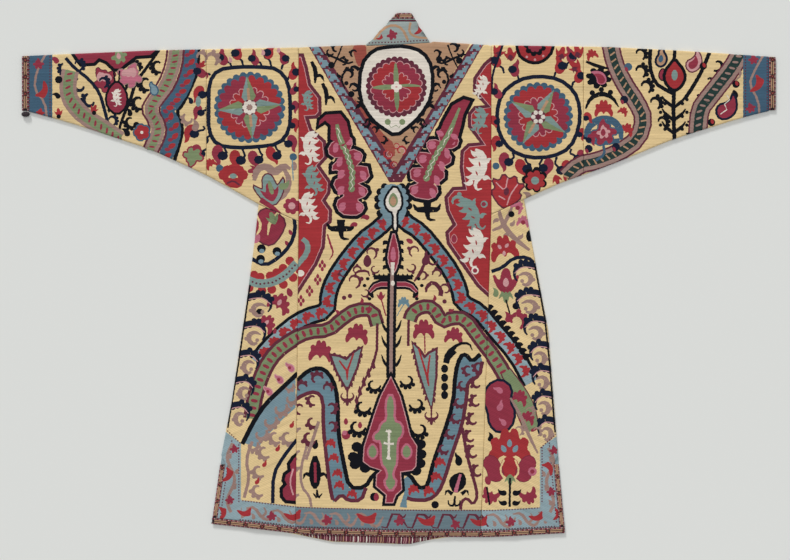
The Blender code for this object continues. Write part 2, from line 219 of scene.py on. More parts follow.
FAN = mirrored([(0, -0.7), (0.22, -0.3), (0.55, -0.45), (0.85, -1.0), (1.1, -0.75), (1.05, -0.2),
    (0.85, 0.0), (1.0, 0.4), (0.68, 0.62), (0.5, 0.42), (0.42, 0.95), (0.12, 1.05), (0, 0.75)])
TULIP = mirrored([(0, -1.0), (0.4, -0.7), (0.75, -0.25), (1.0, 0.55), (0.62, 0.2), (0.42, 0.1), (0.3, 0.8),
    (0, 1.0)])
BUD = mirrored([(0, -1.0), (0.5, -0.6), (0.62, 0.0), (0.4, 0.6), (0, 1.0)])
FLAME = [(0.0, -1.0), (0.5, -0.7), (0.75, -0.1), (0.55, 0.5), (0.1, 1.0), (0.15, 0.5), (-0.1, 0.1),
    (-0.5, -0.2), (-0.45, -0.7)]
SAIL = [(-1.1, 0.35), (-0.6, 0.3), (-0.1, 0.1), (0.45, 0.3), (0.85, 0.7), (1.05, 0.55), (0.9, 0.1),
    (0.95, -0.4), (0.5, -0.55), (-0.1, -0.55), (-0.65, -0.25)]
OAK = [(0.0, 1.1), (0.18, 0.65), (0.5, 0.55), (0.45, 0.3), (0.95, 0.25), (1.0, -0.15), (0.6, -0.15),
    (0.75, -0.6), (0.4, -0.9), (0.2, -0.5), (-0.1, -0.95), (-0.5, -0.85), (-0.4, -0.4), (-0.95, -0.3),
    (-0.85, 0.1), (-0.35, 0.15), (-0.35, 0.6)]
CURL = [(0.0, -1.0), (0.42, -0.75), (0.55, -0.2), (0.35, 0.25), (0.05, 0.55), (0.0, 0.95), (-0.3, 0.6),
    (-0.2, 0.15), (-0.45, -0.25), (-0.4, -0.75)]


def sprig(thread, x, y, size, turn=0.0, shape=FAN, flip=1):
    patch(thread, rounded(placed(shape, x, y, size, turn, flip)))


def scroll(thread, x, y, size, turn=0.0, flip=1, teeth=3, thick=0.6, sweep=230):
    """A hooked tendril with a row of blunt teeth along its outer side, like the handle of a comb."""
    arc = []
    for step in range(8):
        part = step / 7
        angle = math.radians(turn + flip * (sweep * part - 90))
        reach = size * (1.0 - 0.5 * part ** 2)
        arc.append((x + reach * math.cos(angle), y + reach * math.sin(angle)))
    ribbon(thread, arc, [size * thick * 0.5, size * thick, size * thick, size * thick * 0.8,
        size * thick * 0.45], 0, 2)
    for tooth in range(teeth):
        angle = math.radians(turn + flip * (sweep * (0.1 + 0.5 * (tooth + 0.5) / teeth) - 90))
        reach = size * 1.2
        disc(thread, x + reach * math.cos(angle), y + reach * math.sin(angle), size * 0.32, sides=7)


def frill(x, y, reach, lobes, depth, turn=0.0, tall=1.0, share=1.0):
    """The scalloped outline of a flower head."""
    ring = []
    count = lobes * 4
    for step in range(count + (share < 1)):
        angle = math.radians(turn) + math.tau * share * step / count
        out = reach * (1 - depth + depth * abs(math.sin(math.pi * (step / 4 % 1))) ** 0.6)
        ring.append((x + out * math.cos(angle), y + out * math.sin(angle) * tall))
    return ring


def read(table, where, result=1):
    """Reads a table of rows at a first value, with its ends held."""
    rows = sorted(table)
    return float(np.interp(where, [row[0] for row in rows], [row[result] for row in rows]))


SHOULDER = [(-82.1, -2.3), (-52.4, -1.0), (-21.2, -0.4), (-6.3, 0.2), (0.0, 0.4), (8.0, 0.9), (21.2, 0.1),
    (47.3, -0.3), (62.5, -1.1), (83.8, -2.5)]
BACK_HEM = [(-40.3, -105.2), (-31.0, -106.2), (-21.2, -107.4), (0.0, -108.0), (21.2, -108.1), (37.4, -107.2)]
FRONT_HEM = [(-40.3, -104.9), (-24.5, -106.9), (-14.0, -109.1), (3.0, -109.7), (11.5, -107.9), (37.4, -106.6)]
LEFT_UNDERSLEEVE = [(-82.1, -14.0), (-71.3, -16.9), (-53.9, -22.7), (-42.9, -27.7), (-36.0, -31.4),
    (-30.0, -34.8), (-21.2, -38.5)]
RIGHT_UNDERSLEEVE = [(21.2, -37.0), (28.4, -33.7), (36.0, -30.3), (47.3, -26.2), (61.4, -20.4),
    (76.1, -15.8), (83.8, -13.9)]
LEFT_SIDE = [(-34.8, -30.0), (-43.0, -30.9), (-53.7, -32.3), (-77.9, -35.9), (-90.0, -38.2), (-104.7, -40.3)]
RIGHT_SIDE = [(-33.7, 28.4), (-44.9, 30.4), (-62.5, 33.7), (-86.7, 35.6), (-96.0, 36.4), (-106.5, 37.4)]
UNDERSLEEVE = LEFT_UNDERSLEEVE + RIGHT_UNDERSLEEVE
BRAID_WIDE = 1.4

# Folds of the upper layer: x, y, way it runs, half length, half width, rise in mm.
FOLDS = [(-26.0, -34.6, -24, 6.0, 2.6, 4.2), (24.6, -33.2, 24, 6.0, 2.6, 3.6), (-13.0, -47.0, -38, 9.0, 3.4,
    2.4), (14.0, -45.0, 34, 9.0, 3.4, 2.2), (-14.0, -98.0, 84, 10.0, 3.6, 3.0), (8.0, -99.0, 95, 9.0, 4.0,
    2.6), (28.0, -96.0, 80, 11.0, 3.2, 3.0), (-31.0, -95.0, 98, 11.0, 3.0, 2.6), (-57.0, -13.0, -14, 12.0,
    3.0, 2.6), (59.0, -14.0, 15, 12.0, 3.0, 2.6), (-2.0, -9.0, 4, 13.0, 4.5, 2.0), (-24.5, -37.2, -27, 5.0,
    1.0, 2.0), (23.5, -36.0, 25, 5.0, 1.0, 1.6), (-8.0, -70.0, 88, 22.0, 4.0, 1.0), (10.0, -62.0, 97, 20.0,
    4.5, -0.9), (2.0, -52.0, 90, 16.0, 3.0, 0.9), (-33.0, -20.0, -30, 12.0, 2.2, 1.0),
    (34.0, -19.0, 28, 12.0, 2.4, 0.9), (-45.0, -8.0, -8, 12.0, 2.0, 0.8), (47.0, -7.0, 6, 12.0, 2.2, 0.9),
    (-70.0, -9.0, 80, 5.0, 2.0, 1.1), (72.0, -9.0, 100, 5.0, 2.0, 1.1), (-27.0, -60.0, 99, 12.0, 2.5, 1.0),
    (27.0, -62.0, 80, 12.0, 2.5, 1.0), (0.0, -25.0, 90, 9.0, 2.6, 0.9)]


def smooth(value):
    value = np.clip(value, 0.0, 1.0)
    return value * value * (3 - 2 * value)


def column(table, x):
    rows = sorted(table)
    return np.interp(x, [row[0] for row in rows], [row[1] for row in rows])


def rise(x, y):
    """How far the upper layer stands off the lower one at x, y, in centimetres."""
    high = np.zeros_like(x)
    for fold_x, fold_y, way, half_length, half_width, up in FOLDS:
        turn = math.radians(way)
        lengthwise = ((x - fold_x) * math.cos(turn) + (y - fold_y) * math.sin(turn)) / half_length
        across = ((y - fold_y) * math.cos(turn) - (x - fold_x) * math.sin(turn)) / half_width
        high += up * 0.1 * np.exp(-lengthwise ** 4 - across ** 2)
    high += 0.025 * np.sin(x * 0.9 + 2.1 * np.sin(y * 0.23)) * np.sin(y * 0.61 + 1.3 * np.sin(x * 0.31))
    high += 0.02 * np.sin(x * 2.1 + y * 0.7) * np.sin(y * 1.7 - x * 0.5)
    high *= smooth((column(SHOULDER, x) - y) / 3.0)
    low = column(UNDERSLEEVE, x)
    return np.where((np.abs(x) > 28) & (y > -40), high * smooth((y - low) / 3.0), high)


FOLD_MIDDLE = 0.16
FOLD_REACH = 0.28
FOLD_LENGTH = math.pi * FOLD_REACH


def over_shoulder(x, y):
    """Where a point of the cut cloth comes to lie once it is folded along the shoulder line."""
    start = column(SHOULDER, x) - FOLD_MIDDLE
    over = y - start
    turn = np.clip(over / FOLD_REACH, 0, math.pi)
    up = np.where(over <= 0, 0.56 + rise(x, y), FOLD_REACH + FOLD_REACH * np.cos(turn))
    flat_y = np.where(over <= 0, y, np.where(over < FOLD_LENGTH, start + FOLD_REACH * np.sin(turn),
        start - over + FOLD_LENGTH))
    out_y = np.where(over <= 0, 0.0, np.sin(turn))
    out_z = np.where(over <= 0, 1.0, np.cos(turn))
    return np.stack([x, flat_y, up], 1), np.stack([np.zeros_like(x), out_y, out_z], 1)


def on_front(x, y):
    """The place on the cut cloth of a point of the front layer."""
    return 2 * (read(SHOULDER, x) - FOLD_MIDDLE) - y + FOLD_LENGTH


def far_from(points, line):
    """How far each point lies from a broken line."""
    near = np.full(len(points), 1e9)
    for a, b in zip(line, line[1:]):
        a = np.array(a, float)
        way = np.array(b, float) - a
        part = np.clip(((points - a) @ way) / max(way @ way, 1e-9), 0, 1)
        near = np.minimum(near, np.linalg.norm(points - a - part[:, None] * way, axis=1))
    return near


def stepped(outline, rng, lean=0.0):
    """An edge between two threads, which steps a little from one laid row to the next."""
    cos = math.cos(math.radians(lean))
    sin = math.sin(math.radians(lean))
    made = []
    for (ax, ay), (bx, by) in zip(outline, outline[1:] + outline[:1]):
        made.append((ax, ay))
        rows = abs((by - ay) * cos - (bx - ax) * sin) / ROW
        count = min(int(rows / 1.25), 60)
        for step in range(1, count + 1):
            part = step / (count + 1)
            jog = (0.045 if step % 2 else -0.045) * rng.uniform(0.4, 1.3)
            made.append((ax + (bx - ax) * part + jog * cos, ay + (by - ay) * part + jog * sin))
    return made


def turned_right(outline):
    """Whether an outline runs clockwise."""
    return sum(ax * by - bx * ay for (ax, ay), (bx, by) in zip(outline, outline[1:] + outline[:1])) < 0


def holds(outline, x, y):
    """Whether an outline encloses the point x, y."""
    ax, ay = outline.T
    bx, by = np.roll(outline, -1, 0).T
    crosses = (ay > y) != (by > y)
    return bool(np.sum(crosses & (x < (bx - ax) * (y - ay) / np.where(crosses, by - ay, 1.0) + ax)) % 2)


def split_line(line, step):
    made = []
    for (ax, ay), (bx, by) in zip(line, line[1:]):
        count = max(1, math.ceil(math.hypot(bx - ax, by - ay) / step))
        for at in range(count):
            made.append((ax + (bx - ax) * at / count, ay + (by - ay) * at / count))
    return made + [line[-1]]


def embroider(name, outline, finish, settle=over_shoulder, rolled=(), ground="straw", lean=0.0, step=0.8,
        wall=0.0024):
    """Sews every patch drawn so far onto one cut piece of cloth, and gives the piece its shape and its wall.

    outline is the cut in centimetres, rolled the lines at which it turns down to a seam with the layer below.
    """
    rng = random.Random(name)
    if turned_right(outline):
        outline = outline[::-1]
    edge = split_line(outline + outline[:1], 0.7)[:-1]
    points = list(edge)
    areas = [list(range(len(edge)))]
    threads = [ground]
    low = np.min(edge, axis=0)
    high = np.max(edge, axis=0)
    for thread, shape in drawn:
        corners = np.array(shape)
        if (corners.max(0) < low).any() or (corners.min(0) > high).any():
            continue
        shape = stepped(shape, rng, lean)
        if turned_right(shape):
            shape.reverse()
        areas.append(list(range(len(points), len(points) + len(shape))))
        points += shape
        threads.append(thread)
    drawn.clear()
    closed = edge + edge[:1]
    for inset in (0.1, 0.25, 0.5):
        points += grown(edge, -inset)
    for column_x in np.arange(low[0], high[0], step):
        fold = read(SHOULDER, column_x) - FOLD_MIDDLE
        points += [(column_x + rng.uniform(-0.15, 0.15), y + rng.uniform(-0.15, 0.15))
            for y in np.arange(low[1], min(fold, high[1]), step)]
        if high[1] > fold + 1:
            points += [(column_x, fold + FOLD_LENGTH * part / 8) for part in range(9)]
            points += [(column_x, y) for y in np.arange(fold + 2.5, high[1], 3.0)]
    made, _, faces, _, _, origins = delaunay_2d_cdt([Vector(point) for point in points], [], areas, 1, 1e-4,
        True)
    flat = np.array([tuple(point) for point in made])
    shapes = [np.array([points[corner] for corner in area]) for area in areas]
    kept = []
    for face, origin in zip(faces, origins):
        if 0 in origin:
            x, y = flat[face].mean(0)
            kept.append((face,
                next((top for top in sorted(origin, reverse=True) if top and holds(shapes[top], x, y)), 0)))
    place, out = settle(flat[:, 0], flat[:, 1])
    seam = far_from(flat, closed)
    drop = 0.09 * np.clip(1 - seam / 0.3, 0, 1) ** 2
    for line in rolled:
        near = np.clip(1 - far_from(flat, line) / 0.3, 0, 1)
        drop = np.maximum(drop, 0.27 * (1 - np.sqrt(1 - near ** 2)))
    place = (place - out * drop[:, None]) * CM + np.array(ROBE_AT)
    used = sorted({corner for face, _ in kept for corner in face})
    index = {old: new for new, old in enumerate(used)}
    mesh = bpy.data.meshes.new(name)
    mesh.from_pydata(place[used].tolist(), [], [[index[corner] for corner in face] for face, _ in kept])
    colours = mesh.color_attributes.new("thread", "FLOAT_COLOR", "CORNER")
    table = np.array([dyed(thread) for thread in threads])
    colours.data.foreach_set("color", np.repeat(table[[top for _, top in kept]], 3,
        axis=0).astype(np.float32).ravel())
    mesh.materials.append(finish)
    mesh.shade_smooth()
    piece = bpy.data.objects.new(name, mesh)
    bpy.context.scene.collection.objects.link(piece)
    solid = piece.modifiers.new("cloth wall", "SOLIDIFY")
    solid.thickness = wall
    solid.offset = -1.0
    xs, ys = np.array(outline).T
    area = abs(np.sum(xs * np.roll(ys, -1) - np.roll(xs, -1) * ys)) / 2 * CM * CM
    cut = ((xs.max() - xs.min()) * CM, (ys.max() - ys.min()) * CM)
    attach(piece, "root")
    return piece, cut, area


def laid_silk(name, lean, pitch=ROW):
    """Silk laid in close rows and tied down with short slanted stitches, its colour painted darker as shade
    in the grooves between the rows. lean is the way the rows run, in degrees."""
    finish = bpy.data.materials.new(name)
    finish.use_nodes = True
    nodes = finish.node_tree.nodes
    links = finish.node_tree.links
    shader = nodes["Principled BSDF"]
    shader.inputs["Roughness"].default_value = 0.62
    shader.inputs["Specular IOR Level"].default_value = 0.12
    shader.inputs["Sheen Weight"].default_value = 0.02
    shader.inputs["Sheen Roughness"].default_value = 0.4

    def math_node(kind, first, second=None, third=None):
        node = nodes.new("ShaderNodeMath")
        node.operation = kind
        for slot, value in enumerate((first, second, third)):
            if value is None:
                continue
            if isinstance(value, (int, float)):
                node.inputs[slot].default_value = value
            else:
                links.new(value, node.inputs[slot])
        return node.outputs[0]

    where = nodes.new("ShaderNodeTexCoord")
    turned = nodes.new("ShaderNodeMapping")
    turned.inputs["Rotation"].default_value = (0, 0, math.radians(-lean))
    links.new(where.outputs["Object"], turned.inputs["Vector"])
    parts = nodes.new("ShaderNodeSeparateXYZ")
    links.new(turned.outputs["Vector"], parts.inputs[0])
    x = parts.outputs[0]
    y = parts.outputs[1]

    wander = nodes.new("ShaderNodeTexNoise")
    wander.inputs["Scale"].default_value = 14.0
    wander.inputs["Detail"].default_value = 1.0
    links.new(turned.outputs["Vector"], wander.inputs["Vector"])
    wavy = math_node("MULTIPLY_ADD", wander.outputs["Fac"], 0.006, y)
    rows = math_node("MULTIPLY", wavy, math.tau / (pitch * CM))
    crest = math_node("MULTIPLY_ADD", math_node("COSINE", rows), 0.5, 0.5)
    slant = math_node("ADD", math_node("MULTIPLY", x, math.tau / 0.0026), math_node("MULTIPLY", wavy,
        math.tau / 0.0031))
    tie = math_node("MULTIPLY_ADD", math_node("COSINE", slant), 0.5, 0.5)

    def streak(along_x, across_y, detail):
        stretched = nodes.new("ShaderNodeCombineXYZ")
        links.new(math_node("MULTIPLY", x, along_x), stretched.inputs[0])
        links.new(math_node("MULTIPLY", wavy, across_y), stretched.inputs[1])
        found = nodes.new("ShaderNodeTexNoise")
        found.inputs["Scale"].default_value = 1.0
        found.inputs["Detail"].default_value = detail
        links.new(stretched.outputs[0], found.inputs["Vector"])
        return found.outputs["Fac"]

    tone = math_node("ADD", math_node("MULTIPLY", streak(9.0, 130.0, 2.0), 0.5),
        math_node("MULTIPLY", streak(5.0, 22.0, 2.0), 0.3))
    tone = math_node("ADD", tone, math_node("MULTIPLY", streak(160.0, 300.0, 1.0), 0.16))
    tone = math_node("ADD", tone, 0.52)
    # Painted shade: the colour is made darker in the grooves between the rows and a little lighter on their
    # crests, then multiplied with the random tone streaks.
    painted_groove_shade = math_node("MULTIPLY_ADD", crest, 0.2, 0.86)
    shade = math_node("MULTIPLY", tone, painted_groove_shade)
    thread = nodes.new("ShaderNodeVertexColor")
    thread.layer_name = "thread"
    # The thread colour scaled by the random tone streaks and the painted groove shade.
    tone_and_painted_shade = nodes.new("ShaderNodeVectorMath")
    tone_and_painted_shade.operation = "SCALE"
    links.new(thread.outputs["Color"], tone_and_painted_shade.inputs[0])
    links.new(shade, tone_and_painted_shade.inputs["Scale"])
    links.new(tone_and_painted_shade.outputs["Vector"], shader.inputs["Base Color"])

    height = math_node("ADD", math_node("MULTIPLY", crest, 0.7), math_node("MULTIPLY", tie, 0.3))
    height = math_node("ADD", height, math_node("MULTIPLY", streak(160.0, 300.0, 1.0), 0.3))
    relief = nodes.new("ShaderNodeBump")
    relief.inputs["Strength"].default_value = 0.5
    relief.inputs["Distance"].default_value = 0.0005
    links.new(height, relief.inputs["Height"])
    links.new(relief.outputs["Normal"], shader.inputs["Normal"])
    return finish


level_silk = laid_silk("silk in level rows", 0.0)


def hem(x):
    return read(BACK_HEM, x)


def border_dots(line, spacing=0.62):
    """A fine running line of dark stitches in a pale one."""
    for x, y, way in along(line, spacing):
        patch("maroon", stitch_block(0.16, 0.13, x, y, way))


def hem_border(left, right, ground, vine):
    """The band along the back hem: a vine that swings between its two dotted edges."""
    xs = list(np.arange(left - 1.0, right + 1.01, 1.0))
    patch(ground, [(x, hem(x) + 0.9) for x in xs] + [(x, hem(x) + 6.0) for x in reversed(xs)])
    for x, y, way in along([(x, hem(x) + 3.5) for x in xs], 5.6, 0.2):
        if -1.0 < x < 18.5:
            zigzag = [(x - 3.0, y - 1.3), (x - 1.8, y - 1.5), (x - 0.6, y + 1.5), (x + 0.9, y + 1.4),
                (x + 2.6, y - 1.2)]
            ribbon("maroon", zigzag, (0.3, 0.55, 0.55, 0.55, 0.35), 0)
            ribbon("maroon", [(x + 0.9, y + 1.4), (x + 1.8, y + 0.6), (x + 2.4, y + 1.5)], (0.5, 0.5, 0.2))
        else:
            ribbon(vine, [(x - 3.2, y + 1.2), (x - 1.4, y + 1.5), (x + 0.2, y - 0.9), (x + 1.8, y - 1.5),
                (x + 3.0, y + 0.8)], (0.3, 0.7, 0.7, 0.7, 0.3))
            ribbon(vine, [(x + 0.2, y - 0.9), (x + 1.3, y + 0.3), (x + 0.7, y + 1.4)], (0.6, 0.6, 0.2))
            sprig(vine, x - 1.8, y - 0.6, 0.8, 40, FLAME)
    border_dots([(x, hem(x) + 5.9) for x in xs])
    border_dots([(x, hem(x) + 1.65) for x in xs])


V_LEFT = ((-17.5, -0.2), (-0.1, -29.2))
V_RIGHT = ((18.2, 0.6), (0.4, -29.2))


def serrated_leaf(spine, halves, flip):
    """A long leaf with cut lobes, a pale line inside its dark edge, pink hearts and a zigzag on the
    midrib."""
    points = np.array(spine, float)
    long = np.linalg.norm(np.diff(points, axis=0), axis=1).sum()
    sides = []
    for side in (1, -1):
        edge = []
        count = len(halves) - (side == flip)
        for lobe in range(count):
            wide = halves[lobe] * (1.0 if side == 1 else 0.92)
            for part, reach in ((0.02, 0.5), (0.2, 0.9), (0.5, 1.12), (0.78, 1.02), (0.98, 0.62)):
                where = (lobe + part) / count * long
                x, y, way = along(spine, where, 1.0)[0]
                turn = math.radians(way + 90 * side)
                edge.append((x + math.cos(turn) * wide * reach, y + math.sin(turn) * wide * reach))
        sides.append(edge)
    outline = [spine[0]] + sides[1] + [spine[-1]] + sides[0][::-1]
    layered(outline, ("night", 0.7), ("rose", -0.1), ("crimson", -0.28))
    for lobe in range(len(halves)):
        where = (lobe + 0.55) / len(halves) * long
        x, y, way = along(spine, where, 1.0)[0]
        for side in (1, -1):
            if halves[lobe] < 1.6:
                continue
            turn = math.radians(way + 90 * side)
            for dy in (-0.35, 0.35):
                sprig("pink", x + math.cos(turn) * halves[lobe] * 0.62,
                    y + dy + math.sin(turn) * halves[lobe] * 0.62, 0.95, way - 90 - 55 * side, BUD)
    for x, y, way in along(spine[1:], 1.2):
        disc("sage", x, y, 0.75, 0.8, 8)
    zigzag = []
    for step, (x, y, way) in enumerate(along(spine[1:], 0.85)):
        zigzag.append((x + (0.26 if step % 2 else -0.26), y))
    ribbon("cream", zigzag, 0.16, 0)


def red_strip(hand, outer, seam):
    """The red strip beside the sleeve seam, with a scalloped maroon edge and a pale line inside it. The pale
    vine work on it is drawn apart.
    """
    shape = [(seam + hand, outer[0][1])] + outer + [(seam + hand, outer[-1][1])]
    layered(shape, ("maroon", 0.0), ("rose", -0.75), ("red", -0.9))


def vine_figure(thread, x, y, size, turn=0, flip=1):
    """A curling half palmette: a bent stem with flame-shaped fingers along one side, a hooked tail and
    slits of red."""
    stem = placed([(0.5, 1.9), (-0.3, 1.6), (-0.62, 0.5), (-0.45, -0.5), (0.1, -1.3), (-0.15, -1.95),
        (-0.65, -1.75)], x, y, size, turn, flip)
    ribbon(thread, stem, (0.2 * size, 0.5 * size, 0.56 * size, 0.56 * size, 0.4 * size, 0.3 * size,
        0.1 * size))
    for dx, dy, grow, lean in (
        (0.4, 1.6, 0.62, -62), (0.3, 0.95, 0.8, -78), (0.36, 0.2, 0.86, -90), (0.42, -0.55, 0.78, -102),
        (0.72, -1.3, 0.5, -95), (-0.95, -0.75, 0.45, 105), (-0.95, 1.0, 0.38, 60),
    ):
        (finger_x, finger_y), = placed([(dx, dy)], x, y, size, turn, flip)
        sprig(thread, finger_x, finger_y, grow * size, turn + lean * flip, FLAME, flip)
    for dx, dy, big, way in ((-0.1, 0.55, 0.3, -20), (0.05, -0.35, 0.28, -30), (0.3, 1.2, 0.16, -60)):
        slit = placed(placed([(0, -1), (0.3, -0.2), (0.22, 0.5), (0, 1), (-0.25, 0.3), (-0.25, -0.4)], dx,
            dy, big, way), x, y, size, turn, flip)
        patch("red", rounded(slit))


def banded(path, wide, inside, edge, edge_wide=0.62, times=1):
    """A broad band with a darker line along each side."""
    path = rounded(path, times, closed=False)
    ribbon(edge, path, wide + 2 * edge_wide, 0)
    ribbon(inside, path, wide, 0)
    return path


LEFT_BAND = [(-0.9, -37.4), (-3.4, -40.0), (-7.0, -42.6), (-10.6, -47.0), (-13.4, -51.2), (-14.7, -54.6),
    (-14.9, -58.3), (-19.6, -59.6), (-23.4, -62.0), (-28.0, -66.4), (-30.4, -69.6)]
RIGHT_BAND = [(0.7, -36.4), (2.0, -38.6), (5.6, -40.8), (9.2, -45.2), (12.4, -49.6), (14.2, -53.6),
    (14.6, -56.4), (18.6, -58.4), (21.8, -62.4), (26.6, -67.8), (30.0, -74.0)]


def blue_band(path, thread="blue"):
    """The blue band that sweeps from the middle of the back down to each side, set with red carnations."""
    line = banded(path, 2.7, thread, "night", 0.7)
    for x, y, way in along(line, 3.1, 0.75):
        lean_to = way + 90 if way > -90 and way < 90 else way - 90
        up = lean_to if math.cos(math.radians(lean_to - 90)) > -0.2 else lean_to + 180
        sprig("red", x, y, 1.22, up - 90 + (18 if x < 0 else -18))
        ribbon("red", [(x, y - 0.3), (x + (0.5 if x < 0 else -0.5), y - 1.5)], 0.14, 0)


LEFT_ARCH = [(-31.6, -82.0), (-30.7, -76.4), (-28.8, -71.0), (-26.2, -67.2), (-22.6, -64.6), (-19.2, -62.9),
    (-14.6, -62.6), (-11.4, -59.8), (-8.6, -58.0), (-4.9, -58.0), (-3.9, -61.4)]
RIGHT_ARCH = [(3.2, -60.4), (3.8, -58.6), (5.8, -57.3), (8.4, -57.4), (10.4, -60.8), (12.4, -59.8),
    (15.4, -59.9), (18.4, -64.2), (22.2, -69.0), (25.4, -74.6), (28.2, -79.8), (30.6, -84.4)]


def dashed_arch(path, wide, first, last):
    """A sage band with maroon edges and crimson dashes laid across it."""
    line = banded(path, wide, "sage", "maroon", 0.7)
    for x, y, way in along(line, 1.6)[first:last]:
        patch("crimson", rounded(stitch_block(0.36, 0.75, x, y, way)))


def heart(left, right, point, dip):
    """A long teal heart in a toothed maroon edge, with a red fork in it."""
    middle = ((left[0] + right[0]) / 2, dip)
    shape = [left, ((left[0] + middle[0]) / 2, (left[1] + dip) / 2 + 0.25), middle,
        ((right[0] + middle[0]) / 2, (right[1] + dip) / 2 + 0.25), right,
        (right[0] * 0.55 + point[0] * 0.45 + 0.35, right[1] * 0.55 + point[1] * 0.45), point,
        (left[0] * 0.55 + point[0] * 0.45 - 0.35, left[1] * 0.55 + point[1] * 0.45)]
    for (ax, ay), (bx, by) in ((left, point), (right, point)):
        for x, y, _ in along([(ax, ay), (bx, by)], 1.35, 0.8)[:-1]:
            out = 0.75 if ax == right[0] else -0.75
            patch("maroon", [(x, y + 0.5), (x + out, y - 0.1), (x + out * 0.95, y - 1.1),
                (x + out * 0.4, y - 0.9), (x, y - 0.6)])
    for (ax, ay), (bx, by) in ((left, middle), (right, middle)):
        for x, y, _ in along([(ax, ay), (bx, by)], 1.2):
            disc("maroon", x, y + 0.55, 0.4, sides=7)
    layered(shape, ("maroon", 0.55), ("teal", 0.0))
    fork = (point[0] * 0.35 + middle[0] * 0.65 + 0.1, middle[1] * 0.62 + point[1] * 0.38)
    for stroke in (
        ([(left[0] * 0.5 + middle[0] * 0.5, left[1] - 1.0), fork], (0.35, 0.6, 0.5)),
        ([(right[0] * 0.5 + middle[0] * 0.5, right[1] - 1.0), fork], (0.35, 0.6, 0.5)),
        ([fork, (fork[0] * 0.6 + point[0] * 0.4, fork[1] - 1.9)], (0.6, 0.5, 0.3)),
    ):
        ribbon("red", *stroke)
    x, y = point
    ribbon("maroon", [(x, y + 0.5), (x, y - 2.2)], 0.35, 0)
    for hand in (-1, 1):
        ribbon("maroon", [(x, y - 2.6), (x + hand * 1.0, y - 2.4), (x + hand * 1.5, y - 1.6),
            (x + hand * 1.0, y - 0.9)], (0.9, 0.5, 0.15))
    sprig("maroon", x, y - 2.9, 0.95, 180, TULIP)


def back_seam(hand, y):
    """Where the seam beside the panel lies, which drifts below the armhole."""
    top, low, at_hem = (-38.5, -107.4, 21.9) if hand < 0 else (-37.0, -108.1, 18.9)
    part = min(1.0, max(0.0, (top - y) / (top - low)))
    return hand * (21.2 + (at_hem - 21.2) * part)


SEW = 0.015

for hand, x, y, size in ((-1, -17.0, -6.0, 1), (-1, -14.6, -10.8, 1)):
    ribbon("night", [(x - 1.4, y + 2.6), (x - 0.4, y + 0.6), (x - 0.6, y - 2.2)], (0.7, 1.1, 0.4))
    ribbon("night", [(x - 0.4, y - 0.6), (x + 0.8, y - 0.4), (x + 1.4, y - 1.8)], (0.8, 0.7, 0.2))
red_strip(-1, [(-20.1, -1.6), (-19.2, -4.6), (-18.4, -8.4), (-16.2, -11.2), (-16.1, -14.8), (-17.2, -16.0),
    (-18.9, -16.1), (-18.2, -18.2), (-15.2, -20.8), (-14.8, -24.6), (-16.4, -26.4), (-14.0, -29.8),
    (-14.2, -32.4), (-15.2, -34.0), (-13.8, -36.0), (-13.9, -38.8), (-15.1, -39.8), (-15.4, -44.2),
    (-17.0, -48.0), (-21.4, -54.8)], -22.5)
red_strip(1, [(21.0, -2.4), (19.4, -3.8), (17.2, -7.0), (17.1, -9.9), (18.6, -11.8), (19.8, -13.0),
    (17.4, -13.2), (16.0, -14.8), (16.0, -17.8), (17.4, -19.6), (18.6, -21.2), (16.0, -21.4), (14.4, -23.0),
    (14.2, -26.8), (14.8, -30.9), (12.6, -31.0), (10.8, -33.2), (11.2, -36.4), (12.6, -39.2), (11.0, -41.0),
    (11.4, -43.6), (14.6, -48.2), (18.0, -53.0), (20.4, -55.2)], 22.5)
for thread, x, y, size, turn, flip in (
    ("teal", -19.2, -12.0, 1.15, 0, 1), ("cream", -18.6, -22.4, 1.9, 0, 1), ("teal", -18.0, -29.6, 1.7, 15,
    1), ("cream", -19.0, -35.6, 1.75, 10, 1), ("cream", 19.0, -9.0, 1.3, -20, -1),
    ("teal", 18.6, -16.4, 1.5, -10, -1), ("cream", 18.2, -27.2, 2.3, -8, -1), ("teal", 16.9, -37.0, 2.1, 30,
    -1), ("cream", 17.4, -44.4, 2.2, -12, -1),
):
    vine_figure(thread, x, y, size, turn, flip)
ribbon("teal", [(-20.4, -42.4), (-19.2, -43.4), (-19.2, -45.4), (-21.6, -48.4)], (1.0, 1.3, 1.0))
sprig("crimson", -20.4, -44.0, 1.0, 10, BUD)
disc("cream", -20.8, -50.0, 0.85, 0.75)
scroll("teal", 13.6, -34.6, 1.7, 60, 1, 2, 0.5, 220)
layered(rounded(placed(BUD, 13.0, -42.4, 1.0)), ("rose", 0.12), ("crimson", 0.0))
for dot in (
    ("cream", 17.6, -49.4, 0.85), ("crimson", 17.6, -49.4, 0.5), ("teal", 19.6, -34.8, 0.8),
    ("crimson", 19.5, -34.8, 0.5),
):
    disc(*dot)
hook = [(-17.0, -17.8), (-16.7, -16.2), (-15.2, -14.9), (-12.0, -14.7), (-10.5, -16.6), (-9.6, -20.4),
    (-11.4, -22.4), (-14.4, -20.6), (-14.3, -17.6), (-15.4, -16.6)]
horn = [(9.4, -19.4), (10.6, -16.4), (12.6, -12.9), (15.1, -11.5), (16.8, -12.0), (15.2, -15.2),
    (14.7, -17.6), (13.9, -20.6), (11.4, -23.0)]
layered(hook, ("night", 0.55))
layered(horn, ("night", 0.6))
serrated_leaf([(-9.8, -37.4), (-9.6, -32.0), (-9.4, -27.6), (-10.6, -23.6), (-12.4, -20.2)],
    [3.0, 3.7, 3.9, 3.3, 2.5], 1)
serrated_leaf([(6.0, -33.8), (6.7, -29.6), (8.3, -25.4), (10.4, -21.6), (12.4, -18.6)],
    [3.2, 3.7, 3.6, 3.0, 2.1], -1)
layered(hook, ("crimson", -0.2))
layered(horn, ("crimson", -0.2))
